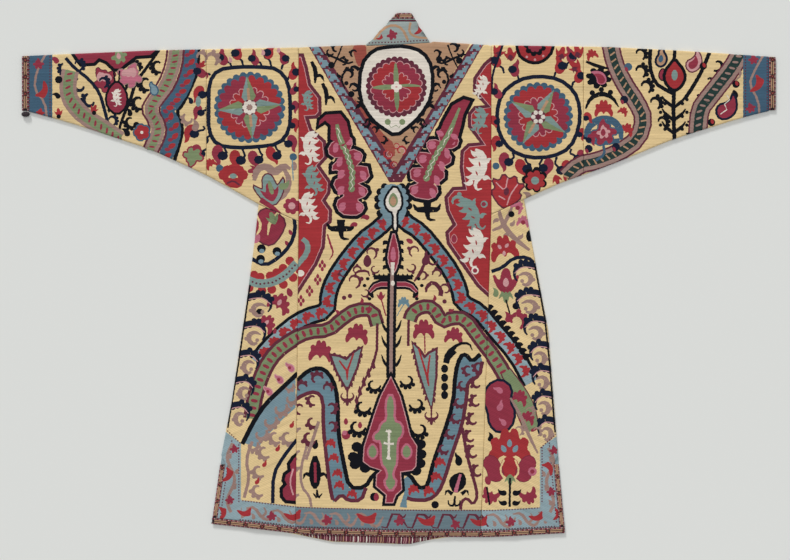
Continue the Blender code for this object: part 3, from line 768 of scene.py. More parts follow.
ribbon("sage", [(-11.6, -21.6), (-12.4, -19.4), (-12.8, -17.2)], (1.3, 1.1, 0.7))
ribbon("cream", [(-11.8, -21.2), (-12.5, -19.6), (-12.2, -18.8), (-12.8, -18.0)], 0.16, 0)
ribbon("sage", [(10.2, -22.2), (11.8, -19.4), (13.0, -16.6), (14.2, -13.6)], (1.3, 1.2, 0.8, 0.5))
ribbon("cream", [(10.6, -21.8), (11.0, -20.6), (11.8, -20.0), (11.9, -18.8), (12.6, -18.0)], 0.16, 0)
for x, y in ((9.9, -19.2), (13.0, -19.9)):
    sprig("pink", x, y, 1.0, 60, BUD)
for x, y in ((-11.9, -40.0), (7.1, -35.8)):
    ribbon("night", [(x - 3.1, y + 1.0), (x - 2.4, y - 0.2), (x - 0.8, y - 0.2), (x + 0.9, y - 0.2),
        (x + 2.4, y - 0.2), (x + 2.9, y + 1.1)], (0.3, 1.1, 1.4, 1.3, 1.1, 0.3))
    ribbon("night", [(x, y + 1.8), (x, y - 1.2), (x + 0.3, y - 2.4), (x + 1.8, y - 2.5)],
        (1.9, 1.5, 0.9, 0.3))
blue_band(LEFT_BAND)
blue_band(RIGHT_BAND)
for hand in (-1, 1):
    for x, y in ((1.9, -31.0), (2.9, -32.1), (3.4, -33.6), (3.4, -35.2), (2.9, -36.8)):
        disc("night", -0.4 + hand * x, y, 0.85)
for hand in (-1, 1):
    for x, y in ((1.2, -31.2), (2.1, -32.0), (2.6, -33.3), (2.6, -34.8), (2.2, -36.2)):
        disc("ice", -0.4 + hand * x, y, 0.75)
patch("ice", rounded([(-0.4, -30.0), (-2.6, -31.2), (-3.2, -33.6), (-3.0, -36.0), (-2.4, -38.6),
    (0.4, -39.8), (2.4, -37.4), (2.3, -34.6), (1.7, -31.8)]))
for x, y, size, turn, shape in (
    (-6.6, -37.9, 1.1, 110, FLAME), (-9.1, -39.5, 1.0, 120, FLAME), (-3.4, -38.6, 0.7, 90, BUD),
    (3.2, -42.9, 0.9, 60, BUD),
):
    sprig("crimson", x, y, size, turn, shape)
ribbon("crimson", [(-14.9, -41.4), (-14.2, -43.6), (-13.5, -45.6), (-14.4, -47.0)], (0.35, 0.5, 0.2))
tear = rounded([(0.0, -30.8), (1.3, -32.8), (1.4, -35.4), (0.2, -36.4), (0.4, -40.4), (-0.3, -40.4),
    (-0.2, -36.6), (-1.6, -36.0), (-2.2, -34.2), (-1.4, -32.4)])
layered(tear, ("night", 0.5), ("cream", 0.0))
sprig("sage", -0.4, -33.9, 1.75, 0, BUD)
sprig("salmon", -0.4, -34.1, 1.15, 0, BUD)
for thread, x, y, turn in (
    ("crimson", -16.0, -48.3, 0), ("crimson", -17.0, -51.4, 0), ("crimson", -18.8, -53.9, 0),
    ("crimson", -20.7, -56.0, 0),
):
    for dx, dy in ((0, 0.75), (0, -0.75), (0.5, 0), (-0.5, 0)):
        sprig(thread, x + dx, y + dy, 0.58, turn, BUD)
dashed_arch(LEFT_ARCH, 1.9, 2, -1)
dashed_arch(RIGHT_ARCH, 1.9, 1, None)
for x, y, size, turn in (
    (-8.3, -63.4, 2.3, -8), (-16.4, -67.2, 2.4, -5), (6.3, -62.4, 2.2, 0), (13.0, -63.8, 1.9, -10),
):
    sprig("crimson", x, y, size, turn, FAN)
ribbon("crimson", [(6.5, -63.0), (6.6, -67.6)], 0.3, 0)
heart((-13.9, -68.2), (-7.5, -66.6), (-10.5, -75.4), -69.2)
heart((4.0, -65.6), (8.9, -67.0), (8.0, -79.6), -68.8)
ribbon("maroon", [(-3.9, -61.0), (-4.0, -68.6), (-7.2, -74.4), (-9.0, -80.6)], (0.6, 0.6, 0.5, 0.2))
for x, y, _ in along([(-4.3, -68.6), (-7.4, -74.4), (-9.1, -79.6)], 2.2):
    patch("maroon", [(x, y + 0.8), (x + 0.6, y - 1.2), (x, y - 1.6), (x - 0.5, y - 0.4)])
ribbon("maroon", [(3.0, -60.2), (2.9, -66.0)], 0.6, 0)
for y in (-71.0, -73.0, -75.0, -76.8):
    disc("night", 10.9, y, 0.8, 0.95)
ribbon("night", [(11.2, -69.8), (11.8, -67.6), (14.0, -65.4), (16.4, -65.4), (17.0, -67.0)],
    (1.3, 1.6, 0.7, 0.6, 0.2))
ribbon("night", [(11.6, -69.0), (13.4, -67.2)], (0.7, 0.6))
for x, y, size, turn, flip, thick in (
    (-5.4, -45.6, 1.4, 30, 1, 0.4), (-4.4, -49.0, 1.0, 250, -1, 0.45), (-9.2, -51.8, 1.6, 20, 1, 0.4),
    (-8.4, -49.4, 1.0, 90, 1, 0.5), (-6.6, -54.2, 1.0, 300, 1, 0.45), (4.4, -45.2, 1.3, 150, -1, 0.4),
    (3.6, -48.6, 1.1, 290, 1, 0.45), (8.6, -47.0, 1.4, 200, 1, 0.4), (9.3, -50.2, 1.1, 100, -1, 0.5),
    (6.0, -50.4, 1.0, 0, 1, 0.5), (11.0, -53.6, 1.2, 60, -1, 0.45), (-11.4, -49.8, 0.9, 200, -1, 0.45),
):
    scroll("maroon", x, y, size, turn, flip, 1, thick, 250)
sprig("maroon", -6.1, -47.3, 1.5, 0, BUD)
sprig("maroon", 6.8, -46.6, 1.8, -10, CURL)
for x, y in ((-11.2, -55.4), (-9.9, -55.0), (10.9, -56.2)):
    disc("maroon", x, y, 0.5)
for stroke in (
    ([(-5.6, -50.6), (-6.0, -49.4), (-8.6, -49.6), (-8.8, -51.0)], (0.3, 0.6, 0.6, 0.3)),
    ([(4.2, -51.8), (5.6, -50.0), (6.4, -48.0)], (0.4, 0.9, 0.6)),
    ([(6.8, -54.2), (6.9, -53.0), (8.4, -51.8), (10.2, -53.6), (10.0, -55.0)], (0.4, 0.9, 0.9, 1.0, 1.1)),
):
    ribbon("maroon", *stroke)
for x, y, turn in (
    (-7.4, -56.0, 20), (-6.0, -57.6, -30), (4.6, -54.8, 0), (8.6, -55.4, 20), (-12.8, -58.6, 60),
    (12.4, -58.0, -60),
):
    sprig("crimson", x, y, 0.75, turn, FLAME)
sprig("crimson", -3.1, -55.0, 1.0, 0, TULIP)
ribbon("crimson", [(-3.1, -55.4), (-2.0, -59.4)], 0.3, 0)
sprig("blue", 1.9, -56.4, 1.2, 0, FAN)
ribbon("blue", [(1.8, -57.0), (0.4, -59.4)], 0.2, 0)

# The two blue serpentine bands at the foot of the back, dark outside, maroon inside, with toothed
# tendrils.
outer = [(-22.8, -75.2), (-20.2, -72.2), (-18.0, -70.9), (-15.6, -71.0), (-13.6, -73.4), (-12.6, -77.4),
    (-12.5, -85.4), (-11.2, -92.2), (-10.1, -97.2), (-6.6, -97.2), (-4.8, -94.2), (-3.0, -93.7)]
inner = [(-6.4, -97.2), (-7.4, -100.0), (-10.4, -100.0), (-11.8, -98.6), (-13.6, -100.4), (-14.3, -97.0),
    (-15.0, -91.4), (-15.8, -84.0), (-15.8, -77.6), (-17.4, -76.0), (-20.0, -76.6), (-22.8, -78.4)]
patch("blue", outer[:-2] + inner)
ribbon("night", outer, 0.95)
ribbon("maroon", inner, 0.85)
for x, y, size, turn, flip in (
    (-17.2, -73.4, 1.2, 100, 1), (-20.6, -75.2, 1.1, 100, 1), (-15.0, -75.4, 1.0, 60, 1),
    (-18.0, -77.8, 1.1, 200, -1), (-20.8, -79.8, 1.1, 180, -1), (-18.0, -82.6, 1.2, 240, -1),
    (-18.6, -86.0, 1.4, 240, -1), (-14.2, -79.6, 1.1, 0, 1), (-14.1, -83.6, 1.0, 0, 1),
):
    scroll("maroon", x, y, size * 1.15, turn, flip, 3)
for x, y in ((-14.1, -87.4), (-13.4, -90.6), (-12.6, -94.0), (-12.2, -96.6), (-9.4, -98.6)):
    sprig("red", x, y, 1.05, -12)
ribbon("mauve", [(-19.4, -88.0), (-20.8, -93.0), (-20.6, -97.0), (-18.8, -99.0), (-18.4, -101.4)], 0.6)
ribbon("mauve", [(-16.8, -82.6), (-18.2, -87.0), (-19.6, -91.0)], 0.7)
for x, y in ((-21.6, -83.0), (-21.8, -88.0), (-21.6, -91.6), (-22.0, -97.6)):
    scroll("mauve", x, y, 1.4, 220, -1, 3)
outer = [(18.8, -67.8), (16.9, -69.5), (15.6, -67.8), (14.4, -68.2), (13.3, -71.6), (12.8, -78.8),
    (10.6, -85.6), (8.4, -91.6), (7.2, -96.6), (6.2, -97.2), (5.0, -97.0), (3.2, -94.2), (1.3, -94.0)]
inner = [(2.6, -99.4), (4.0, -99.9), (7.4, -99.9), (9.6, -98.2), (11.0, -95.0), (12.6, -89.6), (14.8, -83.4),
    (15.8, -77.0), (16.0, -73.8), (18.6, -72.6), (19.2, -69.4)]
patch("blue", [(2.0, -98.4), (1.0, -101.4), (2.6, -101.6)] + inner + outer[:-1] + [(2.0, -95.2)])
ribbon("night", outer, 0.95)
ribbon("maroon", inner, 0.85)
for x, y, size, turn, flip in (
    (16.2, -71.2, 1.0, 200, -1), (18.6, -70.6, 1.1, 200, -1), (15.0, -74.4, 1.0, 240, -1),
    (14.2, -78.2, 1.0, 240, -1), (13.4, -81.6, 1.0, 240, -1), (12.2, -85.0, 1.0, 240, -1),
    (10.8, -88.4, 1.0, 240, -1), (18.2, -74.2, 1.1, 180, 1), (18.0, -78.2, 1.2, 180, 1),
    (17.4, -82.2, 1.2, 180, 1), (16.8, -86.0, 1.2, 180, 1), (17.4, -89.4, 1.3, 180, 1),
    (18.4, -93.6, 1.2, 180, 1),
):
    scroll("maroon", x, y, size * 1.15, turn, flip, 3)
for x, y in ((9.8, -91.6), (9.0, -94.8), (7.4, -97.9), (4.0, -97.6)):
    sprig("red", x, y, 1.15, 15)
ribbon("maroon", [(14.8, -84.0), (15.8, -90.0), (17.4, -95.6), (18.2, -99.0), (17.2, -101.0), (15.8, -99.4),
    (14.6, -100.2), (14.4, -102.0)], 0.7)

# Small black spindle flowers and round buds that fill the ground near the hem.
layered(rounded([(-17.6, -89.6), (-16.4, -92.6), (-16.6, -96.0), (-17.6, -97.6), (-18.6, -96.0),
    (-18.8, -92.8)]), ("night", 0.2), ("night", 0.0))
ribbon("crimson", [(-17.6, -91.6), (-17.5, -96.0)], 0.6, 0)
for hand in (-1, 1):
    ribbon("night", [(-17.6 + hand * 1.0, -94.4), (-17.6 + hand * 2.2, -94.0), (-17.6 + hand * 2.6, -95.2)],
        (1.0, 0.7, 0.2))
    ribbon("night", [(-17.2, -97.6), (-17.0, -99.6), (-17.0 + hand * 1.0, -98.4)], (0.4, 0.7, 0.2))
sprig("night", -17.4, -87.6, 1.2, -20, CURL)
layered(rounded(placed([(0, -1.1), (0.75, -0.2), (0.6, 0.6), (0.1, 1.0), (-0.7, 0.4), (-0.75, -0.3)], 13.8,
    -96.0, 2.6, -15)), ("night", 0.0))
ribbon("pink", [(13.3, -98.2), (14.4, -94.2)], (0.9, 0.5), 0)
for hand in (-1, 1):
    ribbon("night", [(13.6 + hand * 1.0, -98.6), (13.6 + hand * 2.2, -97.6), (13.6 + hand * 2.6, -98.8)],
        (0.9, 0.6, 0.2))
    ribbon("night", [(13.2, -99.0), (13.0, -101.2), (13.0 + hand * 1.2, -101.0), (13.0 + hand * 1.3, -99.9)],
        (0.4, 0.6, 0.5, 0.2))
sprig("night", 13.8, -90.8, 1.7, 15, CURL)
for dot in (("crimson", -10.8, -85.6, 1.0), ("pink", -11.1, -85.1, 0.55), ("night", -4.6, -99.2, 0.95)):
    disc(*dot)
sprig("crimson", -4.1, -99.2, 1.0, 0, BUD)
disc("night", 8.8, -100.9, 0.85)
for x, y in ((-10.8, -82.6), (-7.7, -83.4)):
    sprig("crimson", x, y, 0.8, 0, BUD)

# The slender tree of the middle: a spearhead, a crossbar with hooked ends, and a stem with black leaves.
for hand in (-1, 1):
    for y in (-43.2, -45.0, -46.8, -48.6):
        disc("night", -0.4 + hand * 1.75, y, 0.62, 0.5, 7)
        ribbon("night", [(-0.4 + hand * 1.2, y + 0.2), (-0.4 + hand * 2.3, y - 0.5)], (0.7, 0.3))
    ribbon("night", [(-0.4, -50.9), (-0.4 + hand * 4.3, -50.9)], 1.0, 0)
    for tooth in range(4):
        patch("night", [(-0.4 + hand * (0.6 + tooth), -50.8), (-0.4 + hand * (1.1 + tooth), -50.0),
            (-0.4 + hand * (1.6 + tooth), -50.8)])
    arm = [(-0.4, -52.4), (-0.4 + hand * 3.6, -52.4), (-0.4 + hand * 5.2, -54.1)]
    ribbon("night", arm + [(-0.4 + hand * 4.4, -55.4)], (2.3, 2.3, 1.9, 0.5))
    ribbon("rose", arm, (1.1, 1.1, 0.7))
    ribbon("crimson", arm, (0.85, 0.85, 0.4))
    for x, y in ((5.6, -51.2), (6.3, -52.7), (5.2, -55.6)):
        disc("night", -0.4 + hand * x, y, 0.45, 0.4, 7)
spear = rounded([(-0.3, -40.2), (0.85, -44.4), (1.0, -47.0), (0.3, -49.2), (-0.35, -50.2), (-1.05, -49.2),
    (-1.75, -47.0), (-1.4, -44.4)])
layered(spear, ("night", 0.6), ("rose", 0.0), ("crimson", -0.2))
sprig("pink", -0.4, -45.6, 1.7, 0, [(-0.3, -1), (0.3, -1), (0.35, 0.2), (0, 1), (-0.35, 0.2)])
ribbon("night", [(-0.6, -50.0), (-0.8, -60.0), (-0.9, -73.0)], 2.1, 0)
ribbon("mauve", [(-0.6, -48.0), (-0.8, -60.0), (-0.9, -72.0)], 0.75, 0)
ribbon("cream", [(-0.5, -47.6), (-0.5, -50.4)], (0.9, 0.5), 0)
disc("cream", -0.5, -52.2, 0.45, 0.6)
for y in (-62.2, -65.6, -69.8):
    for hand in (-1, 1):
        foot = (-0.8 + hand * 0.9, y - 0.6)
        ribbon("night", [foot, (-0.8 + hand * 1.6, y + 0.2), (-0.8 + hand * 2.2, y + 1.9)], (0.7, 0.6, 0.15))

# The tall pointed palmette at the foot of the spire, with a sage figure inside a pink line.
right = [(-0.9, -72.6), (1.2, -77.0), (2.4, -81.4), (3.4, -85.6), (4.9, -88.0), (4.7, -92.4), (3.9, -93.4),
    (1.3, -93.8), (1.6, -97.6), (0.2, -98.9), (-0.4, -100.6)]
left = [(-2.2, -100.6), (-2.0, -98.8), (-4.3, -96.8), (-4.1, -94.2), (-3.2, -93.4), (-5.6, -92.6),
    (-7.1, -91.4), (-6.9, -88.2), (-6.0, -85.4), (-4.6, -81.0), (-3.2, -77.0)]
shape = right + left
for hand, x, y in (
    (-1, -8.4, -88.2), (-1, -9.2, -90.4), (-1, -8.8, -92.0), (-1, -6.6, -92.8), (1, 5.6, -87.6),
    (1, 5.7, -89.8), (1, 5.5, -91.8), (1, 4.6, -93.4),
):
    disc("night", x, y, 1.25, 1.15, 9)
ribbon("night", [(-7.4, -87.6), (-7.6, -92.6)], 1.6, 0)
ribbon("night", [(5.0, -87.0), (5.0, -92.8)], 1.6, 0)
layered(shape, ("night", 0.62), ("rose", 0.0), ("crimson", -0.2))
figure = rounded([(-1.0, -76.6), (-0.2, -78.4), (-0.4, -82.6), (1.4, -83.2), (1.6, -85.4), (0.3, -86.6),
    (0.3, -91.8), (-0.4, -93.0), (-0.7, -94.8), (0.3, -96.0), (-1.0, -98.0), (-2.3, -96.0), (-1.4, -94.8),
    (-1.8, -93.0), (-2.9, -91.8), (-2.9, -86.6), (-4.4, -86.8), (-4.6, -85.6), (-3.4, -84.8), (-3.0, -83.2),
    (-1.6, -82.4), (-1.9, -78.4)])
layered(figure, ("pink", 0.5), ("sage", 0.0))
for hand in (-1, 1):
    eye_at = rounded(placed(BUD, -1.2 + hand * 3.75, -89.2, 1.5))
    layered(eye_at, ("pink", 0.4), ("sage", 0.0))
ribbon("cream", [(-1.3, -84.4), (-1.4, -91.0)], (0.5, 0.35, 0.55), 0)
for y, wide in ((-84.9, 0.6), (-87.6, 1.1), (-90.8, 0.45)):
    ribbon("cream", [(-1.4 - wide, y + 0.3), (-1.4, y), (-1.4 + wide, y + 0.1)], (0.55, 0.35, 0.55), 0)
for hand, spots in (
    (-1, ((-4.6, -74.4, 1.5), (-7.0, -79.2, 1.7), (-8.2, -83.6, 1.8))),
    (1, ((2.6, -73.4, 1.5), (4.7, -78.6, 1.6), (5.3, -84.2, 1.7))),
):
    for x, y, size in spots:
        scroll("night", x, y, size, -80 if hand > 0 else 260, hand, 4, 0.5, 245)

# A pointed yoke, edged with a band of blue and maroon blocks whose ends step with the rows.
patch("salmon", [(-17.2, 1.5), (17.6, 2.5), (0.2, -28.6)])
patch("terracotta", rounded([(-9.5, 0.4), (-6.4, 0.6), (-6.2, -2.5), (-7.9, -5.0), (-8.8, -3.0)]))
patch("terracotta", rounded([(-9.4, -11.0), (-7.4, -13.4), (-5.2, -16.0), (-2.5, -19.5), (0.0, -21.5),
    (0.0, -25.0), (-3.2, -22.6), (-6.4, -17.5)]))
for (ax, ay), (bx, by), hand in ((*V_LEFT, -1), (*V_RIGHT, 1)):
    slope = (bx - ax) / (by - ay)
    band = [(ax + slope * 1.6 + hand * 1.45, ay + 1.6), (bx + hand * 1.1, by - 0.8),
        (bx - hand * 0.4, by - 0.8), (bx - hand * 1.1, by + 1.2), (ax + slope * 1.6 - hand * 1.2, ay + 1.6)]
    patch("maroon", band)
    for block in range(11):
        top = ay + 0.4 - block * 3.0
        low = top - 2.0
        if low < by:
            break
        x_top = ax + slope * (top - ay) + hand * 0.25
        x_low = ax + slope * (low - ay) + hand * 0.25
        patch("ice", [(x_top - 1.15 * hand, top - 0.3), (x_top - 0.3 * hand, top - 0.3),
            (x_top - 0.3 * hand, top + 0.2), (x_top + 0.4 * hand, top + 0.2),
            (x_top + 0.4 * hand, top + 0.7), (x_top + 1.15 * hand, top + 0.7), (x_low + 1.1 * hand, low),
            (x_low + 0.3 * hand, low), (x_low + 0.3 * hand, low + 0.4), (x_low - 0.4 * hand, low + 0.4),
            (x_low - 0.4 * hand, low - 0.1), (x_low - 1.1 * hand, low - 0.1)])
        disc("crimson", x_top + 0.05 * hand, top - 1.0, 0.24, 0.34, sides=6)
        disc("rose", x_low - 0.35 * hand, low - 0.6, 0.2, sides=6)

# Black hooked tendrils, discs and crossed stems on the warm ground of the yoke.
for hand, dx in ((-1, 0.3), (1, -0.2)):
    for x, y, size, turn, flip, teeth in (
        (10.6, -6.4, 1.25, 120, 1, 2), (9.3, -9.2, 0.95, 200, 1, 2), (13.0, -0.6, 1.2, 40, -1, 2),
        (6.8, -17.0, 0.9, 230, 1, 2), (5.0, -18.4, 0.8, 150, -1, 1), (3.0, -20.4, 0.9, 210, -1, 2),
        (11.9, -3.6, 1.0, 150, 1, 2), (9.2, -1.6, 0.9, 30, 1, 1), (14.6, -1.2, 0.9, 300, 1, 1),
        (8.7, -13.0, 0.8, 180, 1, 2),
    ):
        scroll("night", hand * x + dx, y, size, turn if hand > 0 else 180 - turn, flip * hand, teeth, 0.62,
            210)
    for dot in (
        (hand * 14.3 + dx, -3.2 - (hand < 0), 0.75), (hand * 9.9 + dx, (-2.9, -10.6)[hand < 0], 0.72),
        (hand * 11.0 + dx, (-7.9, -8.2)[hand < 0], 0.5),
    ):
        disc("night", *dot)
    for stroke in (
        ([(hand * 15.6, -1.8), (hand * 13.0, -2.6), (hand * 10.6, -3.9), (hand * 9.2, -3.5)],
        (0.3, 0.6, 0.4)), ([(hand * 11.6, 0.3), (hand * 12.4, -2.0), (hand * 13.8, -4.8)], 0.35),
        ([(hand * 10.2, -4.6), (hand * 12.0, -7.0), (hand * 11.0, -9.4)], (0.3, 0.6, 0.3)),
    ):
        ribbon("night", *stroke)
    for x, y, turn in ((12.6, -6.4, 20), (8.0, -11.4, 60), (6.2, -14.9, 50), (4.2, -17.8, 50)):
        sprig("night", hand * x + dx, y, 0.75, -hand * turn, FLAME, hand)
for x, y, size, turn in (
    (-1.4, -23.8, 1.1, 200), (1.3, -23.0, 1.1, 20), (-0.3, -26.2, 0.8, 90), (0.2, -21.9, 0.7, 300),
):
    scroll("red", x, y, size, turn, 1, 0, 0.42, 330)
    scroll("rose", x + 0.2, y - 0.05, size * 0.62, turn, 1, 0, 0.3, 300)

# The white shield on the yoke with its eight-part rosette.
white = rounded([(-1.5, -0.6), (-4.6, -1.2), (-7.2, -4.4), (-7.5, -11.6), (-4.8, -16.0), (-2.4, -17.8),
    (0.1, -19.4), (2.8, -17.4), (5.2, -15.2), (7.8, -11.0), (7.9, -5.0), (6.0, -1.6), (2.2, -0.4)])
layered(white, ("night", 0.85), ("cream", 0.0))
for hand in (-1, 1):
    for x, y in ((8.3, -5.2), (8.4, -9.0), (7.0, -13.6), (5.0, -16.8)):
        ribbon("night", [(hand * (x - 0.4), y), (hand * (x + 1.0), y + 0.9), (hand * (x + 1.7), y - 0.3)],
            (0.9, 0.7, 0.25))
patch("maroon", frill(0.3, -9.0, 6.75, 30, 0.06, 4))
patch("rose", frill(0.3, -9.0, 5.85, 20, 0.1))
heads = ("crimson", "red", "crimson", "red")
for quarter in range(4):
    patch(heads[quarter], [(0.3, -9.0)] + frill(0.3, -9.0, 5.65, 5, 0.1, quarter * 90, share=0.25))
    inner = [(0.6, -8.9)] + frill(0.3, -9.0, 3.3, 3, 0.2, quarter * 90 + 13, share=0.18)
    layered(inner, ("rose", 0.15), (heads[(quarter + 1) % 4], 0.0))
    angle = math.radians(quarter * 90 + 2)
    arm = [(0.3 + reach * math.cos(angle), -9.0 + reach * math.sin(angle)) for reach in (0.0, 1.2, 2.6, 4.0,
        5.2)]
    ribbon("sage", arm, (0.6, 1.1, 1.15, 0.9, 0.3), 0)
patch("cream", frill(0.3, -9.0, 1.25, 4, 0.35, 45))
disc("rose", 0.3, -9.0, 0.25, sides=6)
for x in (-1.6, 1.6):
    disc("sage", x, -16.7, 0.68)
    ribbon("sage", [(x, -16.7), (x * 0.55, -18.0), (0.2, -17.4)], 0.14, 0)

hem_border(-22.5, 19.5, "slate", "mauve")
for x, y, size, turn, shape, thread in (
    (-15.0, -104.2, 1.3, 10, OAK, "crimson"), (-6.4, -103.8, 2.2, -8, SAIL, "red"),
    (0.9, -104.4, 1.3, 0, OAK, "crimson"), (6.8, -104.4, 2.0, -4, SAIL, "red"), (13.2, -105.2, 1.2, 20, OAK,
    "crimson"), (18.4, -104.6, 1.9, 0, SAIL, "red"), (-22.6, -103.2, 1.9, 0, SAIL, "red"),
):
    sprig(thread, x, y, size, turn, shape)
centre_left = [(back_seam(-1, y) + SEW, y) for y in (-105.8, -90.0, -70.0, -50.0, -38.5)] + [(-21.2 + SEW,
    -20.0)]
centre_right = [(21.2 - SEW, -18.0)] + [(back_seam(1, y) - SEW, y) for y in (-37.0, -50.0, -70.0, -90.0,
    -106.6)]
neck = []
for step in range(17):
    x = -6.3 + 14.3 * step / 16
    neck.append((x, -8.0 * math.sqrt(max(0.0, 1 - ((x - 0.85) / 7.15) ** 2)) + read(SHOULDER,
        x) - FOLD_MIDDLE))
neck_back = [(x, read(SHOULDER, x) - FOLD_MIDDLE) for x in (-6.3, -3.0, 0.0, 4.0, 8.0)]
front_top = [(x, on_front(x, y)) for x, y in neck]
centre_outline = ([(x, hem(x) + BRAID_WIDE + 0.03) for x in (-21.8, -14.0, -7.0, 0.0, 7.0, 13.0, 18.85)]
    + centre_right[::-1][1:] + [(21.2 - SEW, 0.0), (21.2 - SEW, on_front(21.2, -60.0)),
    (21.2 - SEW, on_front(21.2, -107.0))] + [(x, on_front(x, read(FRONT_HEM, x))) for x in (14.0, 8.0, 0.15)]
    + [(0.15, on_front(0.15, -8.4))] + [point for point in front_top if point[0] > 0.3][:-1]
    + [(8.0, on_front(8.0, -0.2)), (8.0, 0.9)] + neck_back[::-1] + [(-6.3, 0.3),
    (-6.3, on_front(-6.3, -0.2))] + [point for point in front_top if point[0] < -0.3][1:]
    + [(-0.15, on_front(-0.15, -8.4))] + [(x, on_front(x, read(FRONT_HEM, x))) for x in (-0.15, -8.0, -14.0,
    -21.2 + SEW)] + [(-21.2 + SEW, on_front(-21.2, -60.0)), (-21.2 + SEW, 0.0)] + centre_left[::-1])
centre, centre_cut, centre_area = embroider("centre_panel_silk", centre_outline, level_silk)
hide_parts("centre_panel")

# ---- left sleeve
# Half a loom width and then a whole one, joined by a straight seam, folded along the top and sewn under the
# arm in one slope to the cuff. Each is the same embroidered cotton. The upper one carries a flower
# medallion in a ring of buds, the lower one bands and stems that run across it from fold to seam, and a
# blue border at the cuff.


def up_over(x, low):
    """The cut edge of a sleeve at x: up the back from low, over the fold and down the front."""
    fold = read(SHOULDER, x) - FOLD_MIDDLE
    return [(x, low), (x, fold)] + [(x, fold + FOLD_LENGTH * part / 8) for part in range(1, 9)] + [(x,
        on_front(x, low))]


def sleeve_outline(first, last):
    """The cut of one width of a sleeve between two distances from the middle."""
    under = [(x, read(UNDERSLEEVE, x)) for x in np.linspace(first, last, 12)]
    front = [(x, on_front(x, y)) for x, y in under]
    return under[:-1] + up_over(*under[-1]) + front[-2:0:-1] + up_over(*under[0])[::-1]


def under_seam(first, last):
    """The two lines, on the back and on the front, that are sewn together under the arm."""
    back = [(x, read(UNDERSLEEVE, x)) for x in np.linspace(first, last, 10)]
    return [back, [(x, on_front(x, y)) for x, y in back]]


def also_in_front(start):
    """Repeats on the front of a sleeve what was drawn on its back since start."""
    for thread, shape in drawn[start:]:
        if len(shape) > 4 or thread in ("night", "navy", "sage", "ice", "blue"):
            patch(thread, [(x, on_front(x, min(y, read(SHOULDER, x) - FOLD_MIDDLE))) for x, y in shape])


def bud(x, y, to_x, to_y, size, thread="red", calyx="navy"):
    """A round bud in a dark cup with a curled petal, on a bent stem that runs from the ring."""
    out_x = x + (x - to_x) * 0.12
    out_y = y + (y - to_y) * 0.12
    way = math.degrees(math.atan2(y - to_y, x - to_x)) - 90
    side = size * (1 if (x - to_x) * (y - to_y) > 0 else -1)
    ribbon("navy", [(to_x, to_y), (to_x + side * 0.3, (y + to_y) / 2), (x + side * 1.1, (y * 2 + to_y) / 3),
        (x + side * 0.5, y)], (0.5, 0.5, 0.55))
    patch(thread, rounded(placed(CURL, out_x - side * 0.2, out_y, size * 1.75,
        way + 30 * (1 if side > 0 else -1), 1 if side > 0 else -1)))
    disc(calyx, x + side * 0.45, y - 0.1 * size, size * 0.8, size * 0.7, 8)


def medallion(x, y, across, ring, quarters, turn, centre_thread, petals):
    """A flower of four petals with a long pale star between them, in a frilled blue disc and a dark ring."""
    layered(ring, ("navy", 0.45), ("straw", -0.42))
    patch("sea", frill(x, y, across, 28, 0.07, turn))
    for quarter in range(4):
        start = turn + quarter * 90
        patch(quarters[quarter], [(x, y)] + frill(x, y, across * 0.9, 5, 0.13, start, share=0.25))
        inner = [(x, y)] + frill(x, y, across * 0.56, 3, 0.24, start + 10, share=0.2)
        layered(inner, ("rose", 0.17), (quarters[(quarter + 1) % 4], 0.0))
    for quarter in range(4):
        angle = math.radians(turn + quarter * 90)
        cos = math.cos(angle)
        sin = math.sin(angle)
        reach = across * 0.9
        tip = (x + reach * cos, y + reach * sin)
        wide = across * 0.2
        half = across * 0.3
        patch("sage", [(x, y), (x + half * cos + wide * sin, y + half * sin - wide * cos), tip])
        patch("teal", [(x, y), tip, (x + half * cos - wide * sin, y + half * sin + wide * cos)])
        if quarter % 2:
            ribbon("salmon", [(x + 1.0 * cos, y + 1.0 * sin), (x + reach * 0.6 * cos,
                y + reach * 0.6 * sin)], 0.6, 0)
    patch("maroon", frill(x, y, across * 0.22, petals, 0.2))
    for petal in range(petals):
        angle = math.tau * petal / petals
        disc("cream", x + across * 0.14 * math.cos(angle), y + across * 0.14 * math.sin(angle),
            across * 0.068, sides=7)
    disc(centre_thread, x, y, across * 0.08, sides=7)


def left_sleeve_bands():
    """Red-blobbed blue and sage bands that fall from the fold and cross the seam between the two widths."""
    ribbon("night", [(-43.2, 0.0), (-43.4, -5.6), (-45.0, -9.4), (-46.9, -13.2), (-48.1, -14.4),
        (-46.6, -18.0), (-47.4, -21.6), (-48.8, -26.0)], 0.85)
    blue = [(-45.0, 0.0), (-45.2, -5.2), (-46.6, -9.2), (-48.8, -12.6), (-50.4, -14.1), (-48.6, -17.4),
        (-48.8, -20.4), (-51.2, -26.0)]
    ribbon("sea", blue, 3.2)
    for x, y, way in along(blue, 2.3):
        sprig("red", x + 0.4, y, 0.95, way + 50, BUD)
        sprig("crimson", x - 0.6, y - 0.8, 0.7, way + 20, BUD)
    ribbon("maroon", [(-46.4, 0.0), (-46.8, -4.6), (-48.4, -9.0), (-50.6, -11.8), (-52.2, -14.0),
        (-50.2, -17.6), (-50.6, -20.4), (-53.0, -25.0)], 0.5)
    sage = [(-48.1, 0.0), (-48.6, -4.2), (-50.2, -8.6), (-52.4, -11.4), (-54.0, -14.0), (-52.0, -17.6),
        (-52.4, -20.0), (-54.4, -24.0)]
    ribbon("mauve", sage, 3.0)
    ribbon("sage", sage, 1.5)
    for x, y, way in along(sage, 1.4):
        patch("crimson", rounded(stitch_block(0.22, 0.6, x, y, way + 20)))
    ribbon("maroon", [(-50.0, 0.0), (-50.4, -3.8), (-52.0, -8.0), (-54.2, -10.8), (-56.0, -14.0),
        (-53.9, -17.4), (-54.2, -19.6), (-55.4, -22.6)], 0.45)


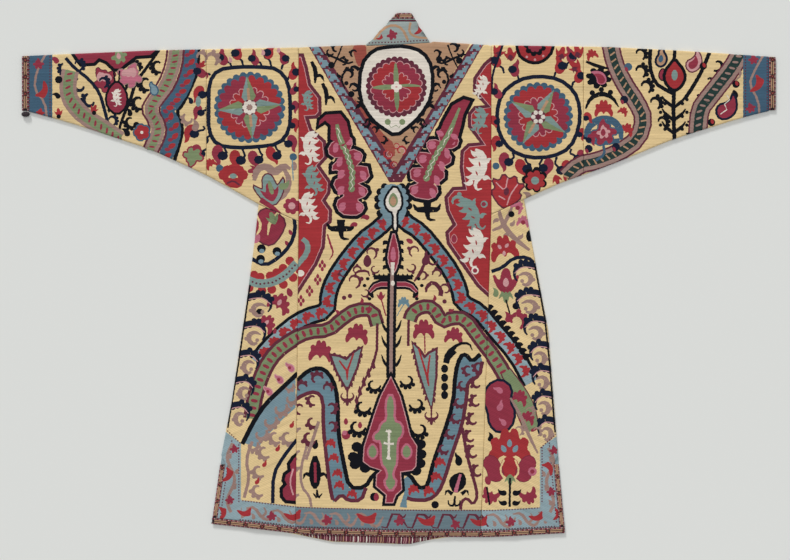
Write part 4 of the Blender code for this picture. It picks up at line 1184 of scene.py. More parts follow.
def cuff_border(hand, first, last, motifs, vine):
    """The blue border of the cuff, with a vine and red leaves between two rows of stitches."""
    patch("sea", [(hand * first, -17.0), (hand * last, -17.0), (hand * last, 15.0), (hand * first, 15.0)])
    for start in (0, 1):
        reflect = (lambda x, y: (x, on_front(x, y))) if start else (lambda x, y: (x, y))
        ribbon("mauve", [reflect(hand * x, y) for x, y in vine], 0.5)
        border_dots([reflect(hand * (first + 0.5), y) for y in (-17.0, -1.0)])
        border_dots([reflect(hand * (last - 0.5), y) for y in (-16.0, -1.5)])
        for thread, x, y, size, turn, shape in motifs:
            shape = rounded(placed(shape, hand * x, y, size, turn, hand))
            patch(thread, [reflect(*spot) for spot in shape])


ring = rounded([(-39.0, -5.2), (-34.6, -4.6), (-29.6, -4.6), (-25.8, -5.0), (-23.4, -8.0), (-23.0, -13.4),
    (-23.2, -18.6), (-25.6, -21.6), (-30.4, -22.2), (-35.0, -22.4), (-39.2, -21.8), (-41.0, -18.8),
    (-41.0, -13.4), (-40.9, -8.0)])
medallion(-32.0, -13.5, 7.9, ring, ("red", "crimson", "red", "crimson"), 5, "mauve", 8)
for x, y, to_x, to_y, size, thread in (
    (-38.0, -2.4, -36.0, -4.5, 1.15, "crimson"), (-34.6, -1.4, -33.4, -4.3, 1.1, "red"),
    (-31.0, -2.6, -29.4, -4.3, 1.0, "crimson"), (-27.6, -1.3, -27.2, -4.6, 1.1, "red"),
    (-24.6, -2.6, -25.0, -5.2, 1.0, "crimson"), (-22.3, -5.6, -23.6, -7.4, 1.1, "red"),
    (-42.6, -5.8, -40.6, -6.4, 1.0, "crimson"), (-42.7, -10.4, -41.0, -9.4, 1.1, "red"),
    (-42.9, -15.6, -41.2, -14.6, 1.1, "crimson"), (-42.6, -20.6, -40.9, -18.6, 1.2, "red"),
    (-38.6, -24.0, -37.6, -22.4, 1.3, "crimson"), (-34.6, -25.0, -33.6, -22.5, 1.3, "red"),
    (-30.6, -24.9, -30.0, -22.3, 1.2, "crimson"), (-26.6, -24.0, -26.4, -21.8, 1.2, "red"),
    (-22.9, -21.4, -24.2, -20.2, 1.1, "crimson"), (-22.2, -17.4, -23.0, -16.4, 0.9, "red"),
    (-22.2, -13.4, -22.9, -12.4, 0.8, "crimson"), (-22.1, -9.4, -23.1, -10.2, 0.8, "crimson"),
):
    bud(x, y, to_x, to_y, size * 1.15, thread)
scroll("mauve", -40.6, -3.0, 1.6, 40, 1, 3)
for x, y in ((-36.4, -3.0), (-29.2, -1.4), (-25.8, -0.8)):
    sprig("rose", x, y, 0.8, 30, FLAME)
sprig("mauve", -22.2, -26.4, 1.1, 0, BUD)

# Flowers of the ground below the medallion, beside the armhole seam.
sprig("red", -40.6, -25.9, 1.2, 30, FAN)
disc("sea", -38.6, -26.9, 0.85)
for spread in range(5):
    angle = math.radians(20 + spread * 35)
    disc("red", -35.6 + 2.2 * math.cos(angle), -29.0 + 1.9 * math.sin(angle), 1.25, sides=8)
patch("red", rounded([(-38.2, -29.0), (-33.0, -29.0), (-34.0, -31.4), (-37.0, -31.0)]))
disc("teal", -35.6, -28.6, 0.8, 0.6)
ribbon("maroon", [(-37.0, -30.2), (-35.6, -29.6), (-34.2, -30.6)], 0.4)
sprig("crimson", -31.2, -27.4, 1.3, 100, TULIP)
ribbon("mauve", [(-31.0, -29.6), (-30.4, -27.0), (-28.2, -26.4), (-26.6, -28.0), (-24.4, -26.2),
    (-23.0, -27.0)], (0.8, 1.6, 1.5, 2.0, 1.5, 0.6))
ribbon("mauve", [(-24.4, -27.0), (-23.2, -29.4), (-23.9, -32.4), (-26.0, -34.2)], (0.8, 1.3, 1.3, 0.8))
layered(rounded(placed(TULIP, -27.4, -31.6, 3.6, 15)), ("maroon", 0.3), ("teal", 0.0))
for leaf in (
    ("crimson", -27.4, -32.2, 2.2, 15, TULIP), ("sage", -27.4, -31.0, 1.7, 15, [(-0.25, -1), (0.25, -1),
    (0.3, 0.3), (0, 1), (-0.3, 0.3)]), ("sage", -24.4, -30.4, 1.5, -40, FLAME),
):
    sprig(*leaf)
disc("sea", -22.4, -24.4, 0.85)
ribbon("ice", [(-22.6, -25.0), (-22.4, -29.6)], 0.25, 0)
patch("crimson", frill(-22.7, -35.2, 1.9, 7, 0.2))
disc("rose", -22.7, -35.2, 0.8)
ribbon("crimson", [(-29.6, -33.8), (-26.0, -36.2), (-24.4, -37.8)], (1.2, 1.0, 0.4))

left_sleeve_bands()
also_in_front(0)
upper_left, cut, area = embroider("sleeve_upper_left_silk", sleeve_outline(-41.5 + SEW, -21.2 - SEW),
    level_silk, rolled=under_seam(-41.5, -30.0))
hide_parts("sleeve_upper_left")

left_sleeve_bands()

stem = [(-51.9, -0.8), (-54.2, -4.2), (-57.2, -8.2), (-58.2, -12.0), (-59.6, -15.0), (-60.8, -18.4),
    (-60.4, -20.6)]
ribbon("night", stem, (0.7, 0.7, 0.8, 0.7, 0.5))
for x, y, size, turn, flip in (
    (-52.0, -4.4, 1.3, 200, -1), (-54.6, -8.2, 1.4, 200, -1), (-56.2, -12.4, 1.4, 200, -1),
    (-54.2, -1.4, 1.1, 60, 1), (-57.4, -4.9, 1.2, 60, 1), (-60.4, -9.0, 1.2, 60, 1), (-62.2, -14.4, 1.2, 60,
    1), (-58.0, -16.6, 1.2, 220, -1),
):
    scroll("night", x, y, size * 1.15, turn, flip, 4)
sprig("night", -59.4, -19.0, 1.3, 60, FLAME)
sprig("night", -58.6, -14.6, 1.1, 40, FLAME)
disc("night", -56.9, -17.4, 0.75)
layered(rounded(placed(CURL, -53.2, -9.3, 1.5, 20)), ("sea", 0.3), ("ice", 0.0))
layered(frill(-55.7, -19.0, 1.7, 5, 0.2), ("sea", 0.35), ("red", 0.0))
disc("cream", -55.7, -19.0, 0.35)
top = [(-71.6, -1.4), (-70.4, -3.2), (-69.3, -4.6), (-66.0, -4.4), (-65.0, -3.5), (-63.8, -4.0),
    (-62.0, -5.7), (-60.3, -5.7), (-58.6, -4.3), (-56.8, -2.9), (-53.6, -2.7), (-52.0, -1.3), (-52.4, 0.2),
    (-71.2, -0.2)]
layered(top, ("night", 0.0), ("crimson", -0.75))
sprig("sage", -60.8, -2.2, 1.9, 10, OAK)
sprig("rose", -60.8, -2.2, 0.8, 10, BUD)
for x, y, thread, turn in ((-64.1, -7.4, "crimson", 28), (-58.4, -6.4, "pink", -28)):
    layered(rounded(placed(OAK, x, y, 2.9, turn)), ("maroon" if thread == "crimson" else "mauve", 0.2),
        (thread, 0.0))
    for lean in (-28, 0, 28):
        sprig("rose", x + 0.03 * lean, y + 0.6, 1.2, turn + lean, BUD)
ribbon("night", [(-61.9, -5.4), (-61.6, -8.4)], 0.38, 0)
ribbon("night", [(-60.6, -5.4), (-60.8, -8.4)], 0.38, 0)
for x, y, to_x, to_y, size, thread in (
    (-43.0, -5.4, -41.0, -6.4, 1.2, "crimson"), (-43.0, -10.6, -41.4, -9.6, 1.3, "red"),
    (-44.8, -19.2, -42.2, -17.6, 1.4, "red"), (-43.4, -23.6, -41.2, -21.2, 1.4, "crimson"),
    (-43.2, -14.6, -41.6, -13.4, 1.1, "crimson"),
):
    bud(x, y, to_x, to_y, size, thread)
scroll("mauve", -42.8, -2.6, 1.4, 40, 1, 3)
scroll("mauve", -45.4, -15.9, 1.3, 220, 1, 3)
sprig("navy", -45.2, -12.0, 1.0, 50, FLAME)
layered(rounded(placed(BUD, -61.2, -11.4, 3.6)), ("night", 0.5), ("crimson", 0.0))
vine_figure("cream", -61.2, -11.4, 1.0)
stem = [(-72.5, -2.6), (-70.6, -4.8), (-67.2, -7.4), (-64.9, -10.4), (-63.9, -14.0), (-63.0, -17.6)]
ribbon("navy", stem, 0.75)
for x, y, size, turn, flip in (
    (-69.8, -4.2, 1.1, 20, 1), (-72.6, -5.0, 1.1, 200, 1), (-69.2, -8.6, 1.4, 200, 1),
    (-67.0, -12.0, 1.4, 200, 1), (-65.9, -15.6, 1.2, 200, 1), (-64.4, -8.0, 1.1, 20, 1),
    (-62.4, -16.4, 1.0, 20, 1),
):
    scroll("navy", x, y, size * 1.15, turn, flip, 4)
green = [(-71.4, -5.4), (-72.0, -8.2), (-71.8, -11.2), (-69.8, -14.2), (-67.2, -16.2), (-63.4, -18.6),
    (-60.6, -20.6)]
ribbon("mauve", green, 3.8)
ribbon("sage", green, 2.2)
for x, y, way in along(green, 1.5):
    patch("crimson", rounded(stitch_block(0.24, 0.65, x, y, way + 25)))
disc("night", -74.0, -7.4, 0.85)
for x, y, turn in ((-74.0, -14.6, 10), (-66.2, -13.8, -30)):
    sprig("red", x, y, 1.0, turn, TULIP)
    disc("night", x, y - 0.9, 0.5)
sprig("crimson", -75.0, -3.2, 1.2, 80, FLAME)
sprig("night", -74.6, -11.0, 1.1, 80, FLAME)

disc("teal", -43.3, -12.2, 0.6, 1.2)
sprig("mauve", -44.2, -17.4, 1.5, 20, FLAME)
layered(rounded(placed(OAK, -44.4, -24.4, 2.2, 160)), ("crimson", 0.35), ("sage", 0.0))
sprig("red", -42.4, -4.0, 0.9, -30, TULIP)
cuff_border(-1, 75.4, 81.0, (("crimson", 78.4, -3.9, 1.3, 10, OAK), ("red", 77.4, -9.6, 1.9, 70, SAIL),
    ("red", 78.0, -14.6, 1.0, 0, OAK)), [(76.8, -1.6), (78.9, -5.6), (79.4, -9.6), (77.0, -12.4),
    (76.6, -16.0)])
also_in_front(0)
lower_left, cut, area = embroider("sleeve_lower_left_silk", sleeve_outline(-80.6 + SEW, -41.5 - SEW),
    level_silk, rolled=under_seam(-80.6, -41.5))
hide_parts("sleeve_lower_left")

# ---- right sleeve
# Cut and made like the left one, with its own medallion, stems and bands: the drawing of the two sleeves
# never matched, since each width was worked apart and sewn up afterwards.


def right_sleeve_bands():
    """A dark green band in pale edges that falls from the fold, turns, and runs back to the under seam."""
    green = [(47.4, 0.5), (48.2, -3.6), (50.2, -8.0), (53.2, -12.4), (54.8, -16.0), (53.6, -20.4),
        (49.0, -23.6), (44.2, -25.4), (40.6, -26.0), (37.6, -28.8)]
    ribbon("maroon", green, 4.1)
    ribbon("mauve", green, 3.3)
    ribbon("forest", green, 1.6)
    for x, y, way in along(green, 1.5):
        patch("salmon", stitch_block(0.17, 0.65, x, y, way + 25))


ring = rounded([(27.2, -7.4), (31.4, -6.6), (36.0, -7.2), (39.4, -9.8), (40.7, -13.4), (40.5, -18.0),
    (38.6, -22.4), (34.6, -24.4), (29.4, -24.6), (25.4, -23.0), (22.9, -19.4), (22.3, -15.0), (23.4, -10.4)])
medallion(31.5, -15.6, 7.7, ring, ("crimson", "red", "crimson", "red"), -30, "maroon", 6)
for x, y, to_x, to_y, size, thread in (
    (22.4, -3.0, 24.0, -6.0, 1.1, "red"), (26.4, -5.0, 27.2, -7.2, 1.1, "crimson"), (36.2, -4.2, 35.0, -6.8,
    1.2, "red"), (38.6, -2.0, 37.6, -5.0, 1.1, "crimson"), (40.4, -6.4, 38.9, -9.0, 1.1, "red"),
    (40.7, -24.6, 38.8, -22.6, 1.1, "crimson"), (37.2, -27.2, 35.6, -24.4, 1.3, "red"),
    (33.2, -26.7, 32.4, -24.7, 1.2, "crimson"), (28.4, -26.9, 28.6, -24.7, 1.3, "red"),
    (24.4, -25.4, 25.8, -23.4, 1.2, "crimson"), (22.4, -21.4, 23.6, -20.2, 1.0, "red"),
    (22.3, -9.9, 23.5, -10.9, 1.0, "crimson"), (22.0, -16.6, 22.3, -15.4, 0.8, "red"),
    (41.0, -19.4, 40.3, -18.4, 0.8, "red"),
):
    bud(x, y, to_x, to_y, size * 1.15, thread)
for x, y, turn in (
    (22.8, -1.0, -30), (25.4, -1.8, 10), (36.6, -1.6, -20), (40.2, -1.2, 20), (39.6, -4.4, 50),
):
    sprig("red", x, y, 1.6, turn, TULIP)
    sprig("maroon", x, y - 0.8, 0.8, turn + 180, TULIP)
crown = rounded([(26.6, 2.6), (26.9, -1.8), (28.8, -3.4), (31.0, -3.9), (33.0, -3.2), (34.8, -1.2),
    (34.9, 2.6)])
layered(crown, ("night", 0.3), ("red", -0.4))
patch("night", frill(30.8, 0.2, 2.5, 9, 0.2))
patch("crimson", frill(30.8, 0.2, 1.6, 8, 0.2))
for x, y in ((29.0, -2.4), (30.8, -3.0), (32.6, -2.2)):
    disc("rose", x, y, 0.3, sides=6)
ribbon("navy", [(23.8, 0.6), (22.8, -2.4), (21.4, -6.2), (21.3, -9.4)], 0.5)

patch("night", frill(30.7, -29.4, 2.9, 7, 0.25))
patch("red", frill(30.8, -29.6, 2.3, 7, 0.25))
disc("teal", 30.8, -29.6, 0.9)
sprig("red", 35.6, -29.4, 1.2, 200, TULIP)
layered(rounded(placed([(0.0, -1.2), (0.5, -0.9), (1.1, -0.2), (0.75, 0.1), (1.2, 0.7), (0.6, 0.6),
    (0.45, 1.2), (0.0, 0.8), (-0.45, 1.2), (-0.6, 0.6), (-1.2, 0.7), (-0.75, 0.1), (-1.1, -0.2),
    (-0.5, -0.9)], 24.6, -32.0, 3.1, -10)), ("maroon", 0.35), ("red", 0.0))
for stroke in (
    ([(22.2, -30.0), (24.2, -32.0), (24.8, -29.0)], 0.28), ([(27.0, -30.4), (25.4, -32.6), (24.6, -35.0)],
    0.28), ([(22.8, -33.0), (24.2, -33.8)], 0.28),
):
    ribbon("rose", *stroke)
sprig("maroon", 24.5, -32.0, 1.0, -10, BUD)
disc("sea", 22.2, -26.4, 0.8)
sprig("mauve", 29.0, -33.0, 1.3, 60, FLAME)

right_sleeve_bands()
also_in_front(0)
upper_right, cut, area = embroider("sleeve_upper_right_silk", sleeve_outline(21.2 + SEW, 41.5 - SEW),
    level_silk, rolled=under_seam(28.4, 41.5))
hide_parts("sleeve_upper_right")

right_sleeve_bands()

# The flowering tree and curled stems of the lower sleeve, between two dark green bands.
ribbon("night", [(42.0, -3.4), (44.4, -4.4), (47.0, -5.0)], (0.5, 0.9, 0.4))
patch("night", frill(44.8, -7.0, 2.9, 8, 0.3, 10, 0.85))
patch("pink", rounded(placed(FLAME, 44.6, -7.0, 2.2, 60)))
patch("crimson", rounded(placed(FLAME, 44.8, -7.2, 1.6, 60)))
ribbon("night", [(41.9, -13.8), (43.0, -11.4), (45.4, -10.4), (47.8, -11.2), (49.2, -13.4)],
    (0.4, 0.9, 1.1, 0.9, 0.3))
for x, y in ((43.4, -10.3), (45.4, -9.6), (47.4, -10.2)):
    disc("night", x, y, 0.6)
for x, y, turn, size in (
    (45.9, -13.8, 0, 1.9), (51.0, -18.4, -20, 1.4), (43.3, -1.9, 20, 1.2), (50.2, -14.4, -30, 1.0),
):
    sprig("red", x, y, size, turn)
ribbon("sea", [(41.9, -20.6), (42.4, -18.0), (44.2, -16.4), (46.0, -16.0), (48.0, -16.4), (49.6, -18.2),
    (49.8, -20.6)], (0.8, 1.4, 1.6, 1.6, 1.6, 1.4, 0.8))
ribbon("sea", [(42.4, -20.8), (45.8, -21.4), (49.4, -20.8)], 1.1)
layered(rounded(placed(OAK, 45.8, -19.0, 3.0)), ("sea", 0.3), ("crimson", 0.0))
sprig("rose", 45.8, -18.9, 1.6, 0, OAK)
sprig("crimson", 45.8, -19.0, 0.9, 0, BUD)
ribbon("sea", [(45.8, -21.6), (46.2, -23.8), (44.2, -25.2)], 0.6)
for x, y, thread in (
    (51.3, -4.6, "sea"), (48.6, -22.2, "navy"), (42.6, -22.6, "navy"), (50.4, -11.8, "navy"),
):
    disc(thread, x, y, 0.9)
    sprig("crimson", x - 0.4, y - 0.5, 0.6, 20, BUD)
trunk = [(61.4, -9.6), (61.2, -13.6), (61.5, -20.6)]
ribbon("night", trunk, 0.9, 0)
for y in (-12.2, -15.0, -17.8):
    for hand in (-1, 1):
        ribbon("night", [(61.3, y - 1.4), (61.3 + hand * 2.0, y + 0.2), (61.3 + hand * 2.6, y + 1.2)],
            (0.7, 0.8, 0.3))
        disc("night", 61.3 + hand * 1.9, y - 0.5, 0.42, sides=7)
        disc("night", 61.3 + hand * 2.9, y + 0.4, 0.42, sides=7)
left_stem = [(56.2, -0.6), (56.0, -4.6), (57.2, -8.2), (59.8, -9.8), (61.4, -10.6)]
ribbon("night", left_stem, 0.85)
for x, y, size, turn, flip in (
    (53.8, -1.8, 1.2, 30, 1), (53.8, -5.6, 1.3, 30, 1), (55.0, -9.0, 1.3, 30, 1), (57.0, -12.6, 1.3, 30, 1),
    (58.6, -16.8, 1.2, 30, 1),
):
    scroll("night", x, y, size * 1.15, turn, flip, 4)
layered(rounded(placed(CURL, 58.6, -2.4, 2.0, -10)), ("navy", 0.5), ("salmon", 0.0))
sprig("sea", 58.5, -2.8, 0.9, -10, BUD)
layered(rounded(placed(BUD, 58.9, -6.3, 1.3)), ("night", 0.25), ("crimson", 0.0))
layered(rounded(placed([(0, -1.5), (0.6, -1.1), (1.0, -0.3), (0.8, 0.5), (0.3, 1.1), (0, 1.5), (-0.3, 1.1),
    (-0.8, 0.5), (-1.0, -0.3), (-0.6, -1.1)], 61.5, -6.4, 2.1)), ("night", 0.7), ("red", 0.0))
disc("teal", 61.5, -6.4, 0.7, 1.2)
ribbon("night", [(61.4, -3.4), (61.6, -0.4)], 0.8)
layered(rounded(placed(FLAME, 65.6, -3.2, 2.6, -12)), ("maroon", 0.3), ("rose", 0.0))
sprig("crimson", 65.5, -3.5, 1.7, -12, FLAME)
ribbon("night", [(69.2, -1.4), (67.6, -5.4), (65.4, -9.2), (63.6, -11.8)], 0.85)
for x, y, size, turn in (
    (70.8, -4.2, 1.2, 330), (69.0, -8.0, 1.3, 330), (66.6, -11.6, 1.2, 330), (65.0, -15.4, 1.2, 330),
    (64.6, -18.2, 1.0, 330),
):
    scroll("night", x, y, size * 1.15, turn, 1, 4)
green = [(76.0, -1.6), (74.2, -4.8), (71.2, -8.6), (68.8, -11.6), (67.0, -14.0), (66.6, -19.2)]
ribbon("maroon", green, 4.3)
ribbon("mauve", green, 3.6)
ribbon("forest", green, 2.0)
for x, y, way in along(green, 1.5):
    patch("mauve", rounded(stitch_block(0.24, 0.65, x, y, way + 25)))
for x, y in ((67.8, -4.4), (69.6, -16.8), (75.0, -8.4)):
    disc("night", x, y, 0.85)
    sprig("red", x + 0.2, y + 0.2, 0.6, 20, BUD)
sprig("night", 74.8, -10.6, 1.1, 20, BUD)
layered(rounded(placed(FLAME, 72.9, -13.2, 3.0, -25)), ("navy", 0.5), ("crimson", 0.0))
ribbon("cream", [(71.6, -15.0), (73.0, -14.0), (72.5, -12.8), (73.6, -11.8), (73.0, -10.8)], 0.22, 0)
ribbon("mauve", [(75.4, -4.6), (76.2, -6.4), (74.9, -7.6)], (0.7, 0.6, 0.2))

for x, y, to_x, to_y, thread in ((42.4, -15.8, 41.5, -15.4, "red"), (43.0, -20.6, 41.5, -19.6, "crimson")):
    bud(x, y, to_x, to_y, 0.9, thread)
cuff_border(1, 76.6, 82.4, (("crimson", 78.8, -2.9, 1.2, 0, OAK), ("red", 79.6, -8.6, 2.0, 60, SAIL),
    ("crimson", 78.2, -13.6, 1.2, 10, OAK)), [(81.0, -2.0), (79.0, -5.6), (77.9, -8.4), (80.0, -12.0),
    (80.2, -15.6)])
also_in_front(0)
lower_right, cut, area = embroider("sleeve_lower_right_silk", sleeve_outline(41.5 + SEW, 82.3 - SEW),
    level_silk, rolled=under_seam(41.5, 82.3))
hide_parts("sleeve_lower_right")

# ---- gores
# Slanted pieces of the same cloth from each underarm to the hem, one on the back and one on the front of each
# side, joined along the outer edge down to the slit. The cloth is set at an angle, so its rows of silk climb
# towards the middle. The blue band and the sage arch of the middle run on across the back ones.

LEFT_LEAN = 24.0
RIGHT_LEAN = -24.0
left_silk = laid_silk("silk in rows that climb right", LEFT_LEAN)
right_silk = laid_silk("silk in rows that climb left", RIGHT_LEAN)


def side_x(hand, y):
    return read(LEFT_SIDE if hand < 0 else RIGHT_SIDE, y)


def slit_step(y):
    """How far the back stops short of its edge, where the braid of the side slit takes over."""
    return (1.1 + 0.03) * float(smooth((-90.0 - y) / 2.0))


def crescent(hand, edge, y, wide=5.4):
    """A dark arch from the side edge inwards, scalloped above and hooked at its end, over a curled
    tendril."""
    line = [(edge + hand * 0.6, y + 0.4), (edge - hand * wide * 0.3, y + 0.9), (edge - hand * wide * 0.7,
        y + 0.8), (edge - hand * wide * 0.98, y - 0.5), (edge - hand * wide, y - 2.0),
        (edge - hand * wide * 0.86, y - 2.9)]
    ribbon("navy", line, (1.1, 1.2, 1.2, 1.0, 0.7, 0.3))
    for x, top, way in along(line[:4], 1.05, 0.6):
        angle = math.radians(way + 90 * (1 if hand > 0 else -1))
        up = 1 if math.sin(angle) > 0 or hand * math.cos(angle) < 0 else -1
        disc("navy", x + up * 0.5 * math.cos(angle), top + up * 0.5 * math.sin(angle), 0.62, sides=8)
    ribbon("rose", [(x, top - 0.72) for x, top in line[:4]], 0.2)
    curl = [(edge - hand * wide * 0.8, y - 1.7), (edge - hand * wide * 0.5, y - 1.1),
        (edge - hand * wide * 0.22, y - 1.7), (edge - hand * wide * 0.2, y - 3.0),
        (edge - hand * wide * 0.42, y - 3.9), (edge - hand * wide * 0.62, y - 3.5)]
    ribbon("mauve", curl, (0.3, 0.8, 1.2, 1.0, 0.5))
    disc("mauve", edge - hand * wide * 0.08, y - 2.6, 0.45, sides=7)
    disc("mauve", edge - hand * wide * 0.62, y - 2.9, 0.45, sides=7)


def left_gore():
    layered(rounded([(-30.9, -38.4), (-29.0, -35.6), (-26.2, -36.6), (-24.0, -38.6), (-25.0, -41.4),
        (-27.2, -44.0), (-29.8, -43.0), (-31.2, -41.0)]), ("maroon", 0.35), ("crimson", 0.0))
    ribbon("straw", [(-25.4, -36.4), (-27.6, -38.6), (-28.0, -41.6)], (0.5, 0.8, 0.3))
    ribbon("straw", [(-30.4, -37.2), (-29.4, -39.6), (-30.6, -42.0)], (0.3, 0.7, 0.3))
    sprig("sage", -26.9, -37.9, 1.5, 20, TULIP)
    sprig("pink", -30.4, -42.4, 1.2, -30, BUD)
    for x, y in ((-23.0, -41.0), (-23.8, -43.4)):
        sprig("crimson", x, y, 0.7, 30, BUD)
    ribbon("navy", [(-22.2, -37.6), (-21.9, -40.6), (-23.0, -43.8), (-25.6, -46.6), (-28.6, -48.4),
        (-31.6, -46.8)], 0.85)
    for x, y in ((-29.4, -44.6), (-26.0, -45.2), (-29.6, -46.9)):
        disc("night", x, y, 1.0)
        disc("ice", x + 0.1, y - 0.5, 0.6, 0.5, 7)
    teal = [(-32.6, -51.4), (-30.0, -52.4), (-26.8, -52.0), (-24.0, -50.4), (-21.6, -47.8)]
    for x, y, way in along(teal, 2.2):
        for side in (-1, 1):
            angle = math.radians(way + 90 * side)
            disc("red", x + 1.5 * math.cos(angle), y + 1.5 * math.sin(angle), 1.0)
    ribbon("teal", teal, 1.9)
    for x, y, _ in along(teal, 0.9):
        disc("maroon", x, y, 0.25, sides=6)
    sprig("crimson", -23.2, -54.2, 1.1, 20, BUD)
    for x, y, size, turn in ((-25.4, -56.6, 2.2, -30), (-28.2, -61.0, 1.9, -40)):
        for leaf in (
            ("crimson", x, y, size, turn), ("rose", x, y + 0.2, size * 0.35, turn, BUD),
            ("crimson", x + 1.6, y - 1.6, 0.8, turn + 60, FLAME),
        ):
            sprig(*leaf)
    disc("night", -29.8, -58.6, 0.85)
    for y, wide in ((-55.6, 4.9), (-61.8, 4.5), (-68.2, 3.9), (-74.0, 3.7), (-79.6, 3.6)):
        crescent(-1, side_x(-1, y) + 0.4, y, wide)
    ribbon("night", [(side_x(-1, y) + 0.25, y) for y in (-52.5, -60.0, -70.0, -84.0)], 0.4, 0)
    for x, y in ((-23.2, -70.6), (-25.6, -73.2), (-28.0, -75.8)):
        layered(rounded(placed(CURL, x, y, 1.3, 40)), ("rose", 0.2), ("pink", 0.0))
        disc("crimson", x, y - 0.2, 0.4, sides=6)
    patch("ice", [(-21.9, -72.6), (-26.5, -76.2), (-30.3, -80.4), (-31.5, -84.0), (-33.0, -87.4),
        (-30.2, -88.4), (-27.6, -85.2), (-24.6, -82.0), (-21.9, -79.6)])
    for x, y, size in (
        (-22.9, -77.4, 1.4), (-25.3, -79.6, 1.6), (-27.6, -82.4, 1.6), (-29.6, -85.2, 1.5),
        (-31.4, -87.8, 1.3), (-23.4, -74.8, 1.1),
    ):
        scroll("mauve", x, y, size, 300, -1, 3)
    ribbon("night", [(-21.4, -72.0), (-25.0, -75.4), (-28.5, -78.7), (-31.0, -82.4), (-33.6, -87.6)], 1.0)
    vine = [(-31.4, -87.0), (-32.8, -91.0), (-32.0, -95.0), (-33.2, -99.4)]
    ribbon("mauve", vine, 0.7)
    for x, y in ((-26.2, -86.0), (-28.6, -89.2), (-29.8, -93.4), (-30.0, -97.6), (-23.4, -86.0)):
        scroll("mauve", x, y, 1.5, 220, -1, 3)
    for x, y in ((-25.7, -88.4), (-28.6, -91.8), (-30.2, -95.6), (-22.6, -83.2)):
        sprig("red", x, y, 0.95, -30, CURL)
    ribbon("navy", [(-21.6, -86.6), (-24.6, -90.4), (-26.8, -94.2), (-26.9, -100.6)], 0.8)
    scalloped = [(-21.4, -89.6), (-22.5, -90.6), (-23.4, -92.0), (-23.2, -93.4), (-24.3, -94.2),
        (-24.6, -95.6), (-24.1, -96.4), (-25.0, -97.4), (-24.9, -99.2), (-24.0, -100.2), (-21.4, -100.4)]
    layered(scalloped, ("night", 0.45), ("crimson", -0.3))
    ribbon("rose", [(-22.4, -93.0), (-23.2, -96.0), (-22.4, -98.8)], 0.35)


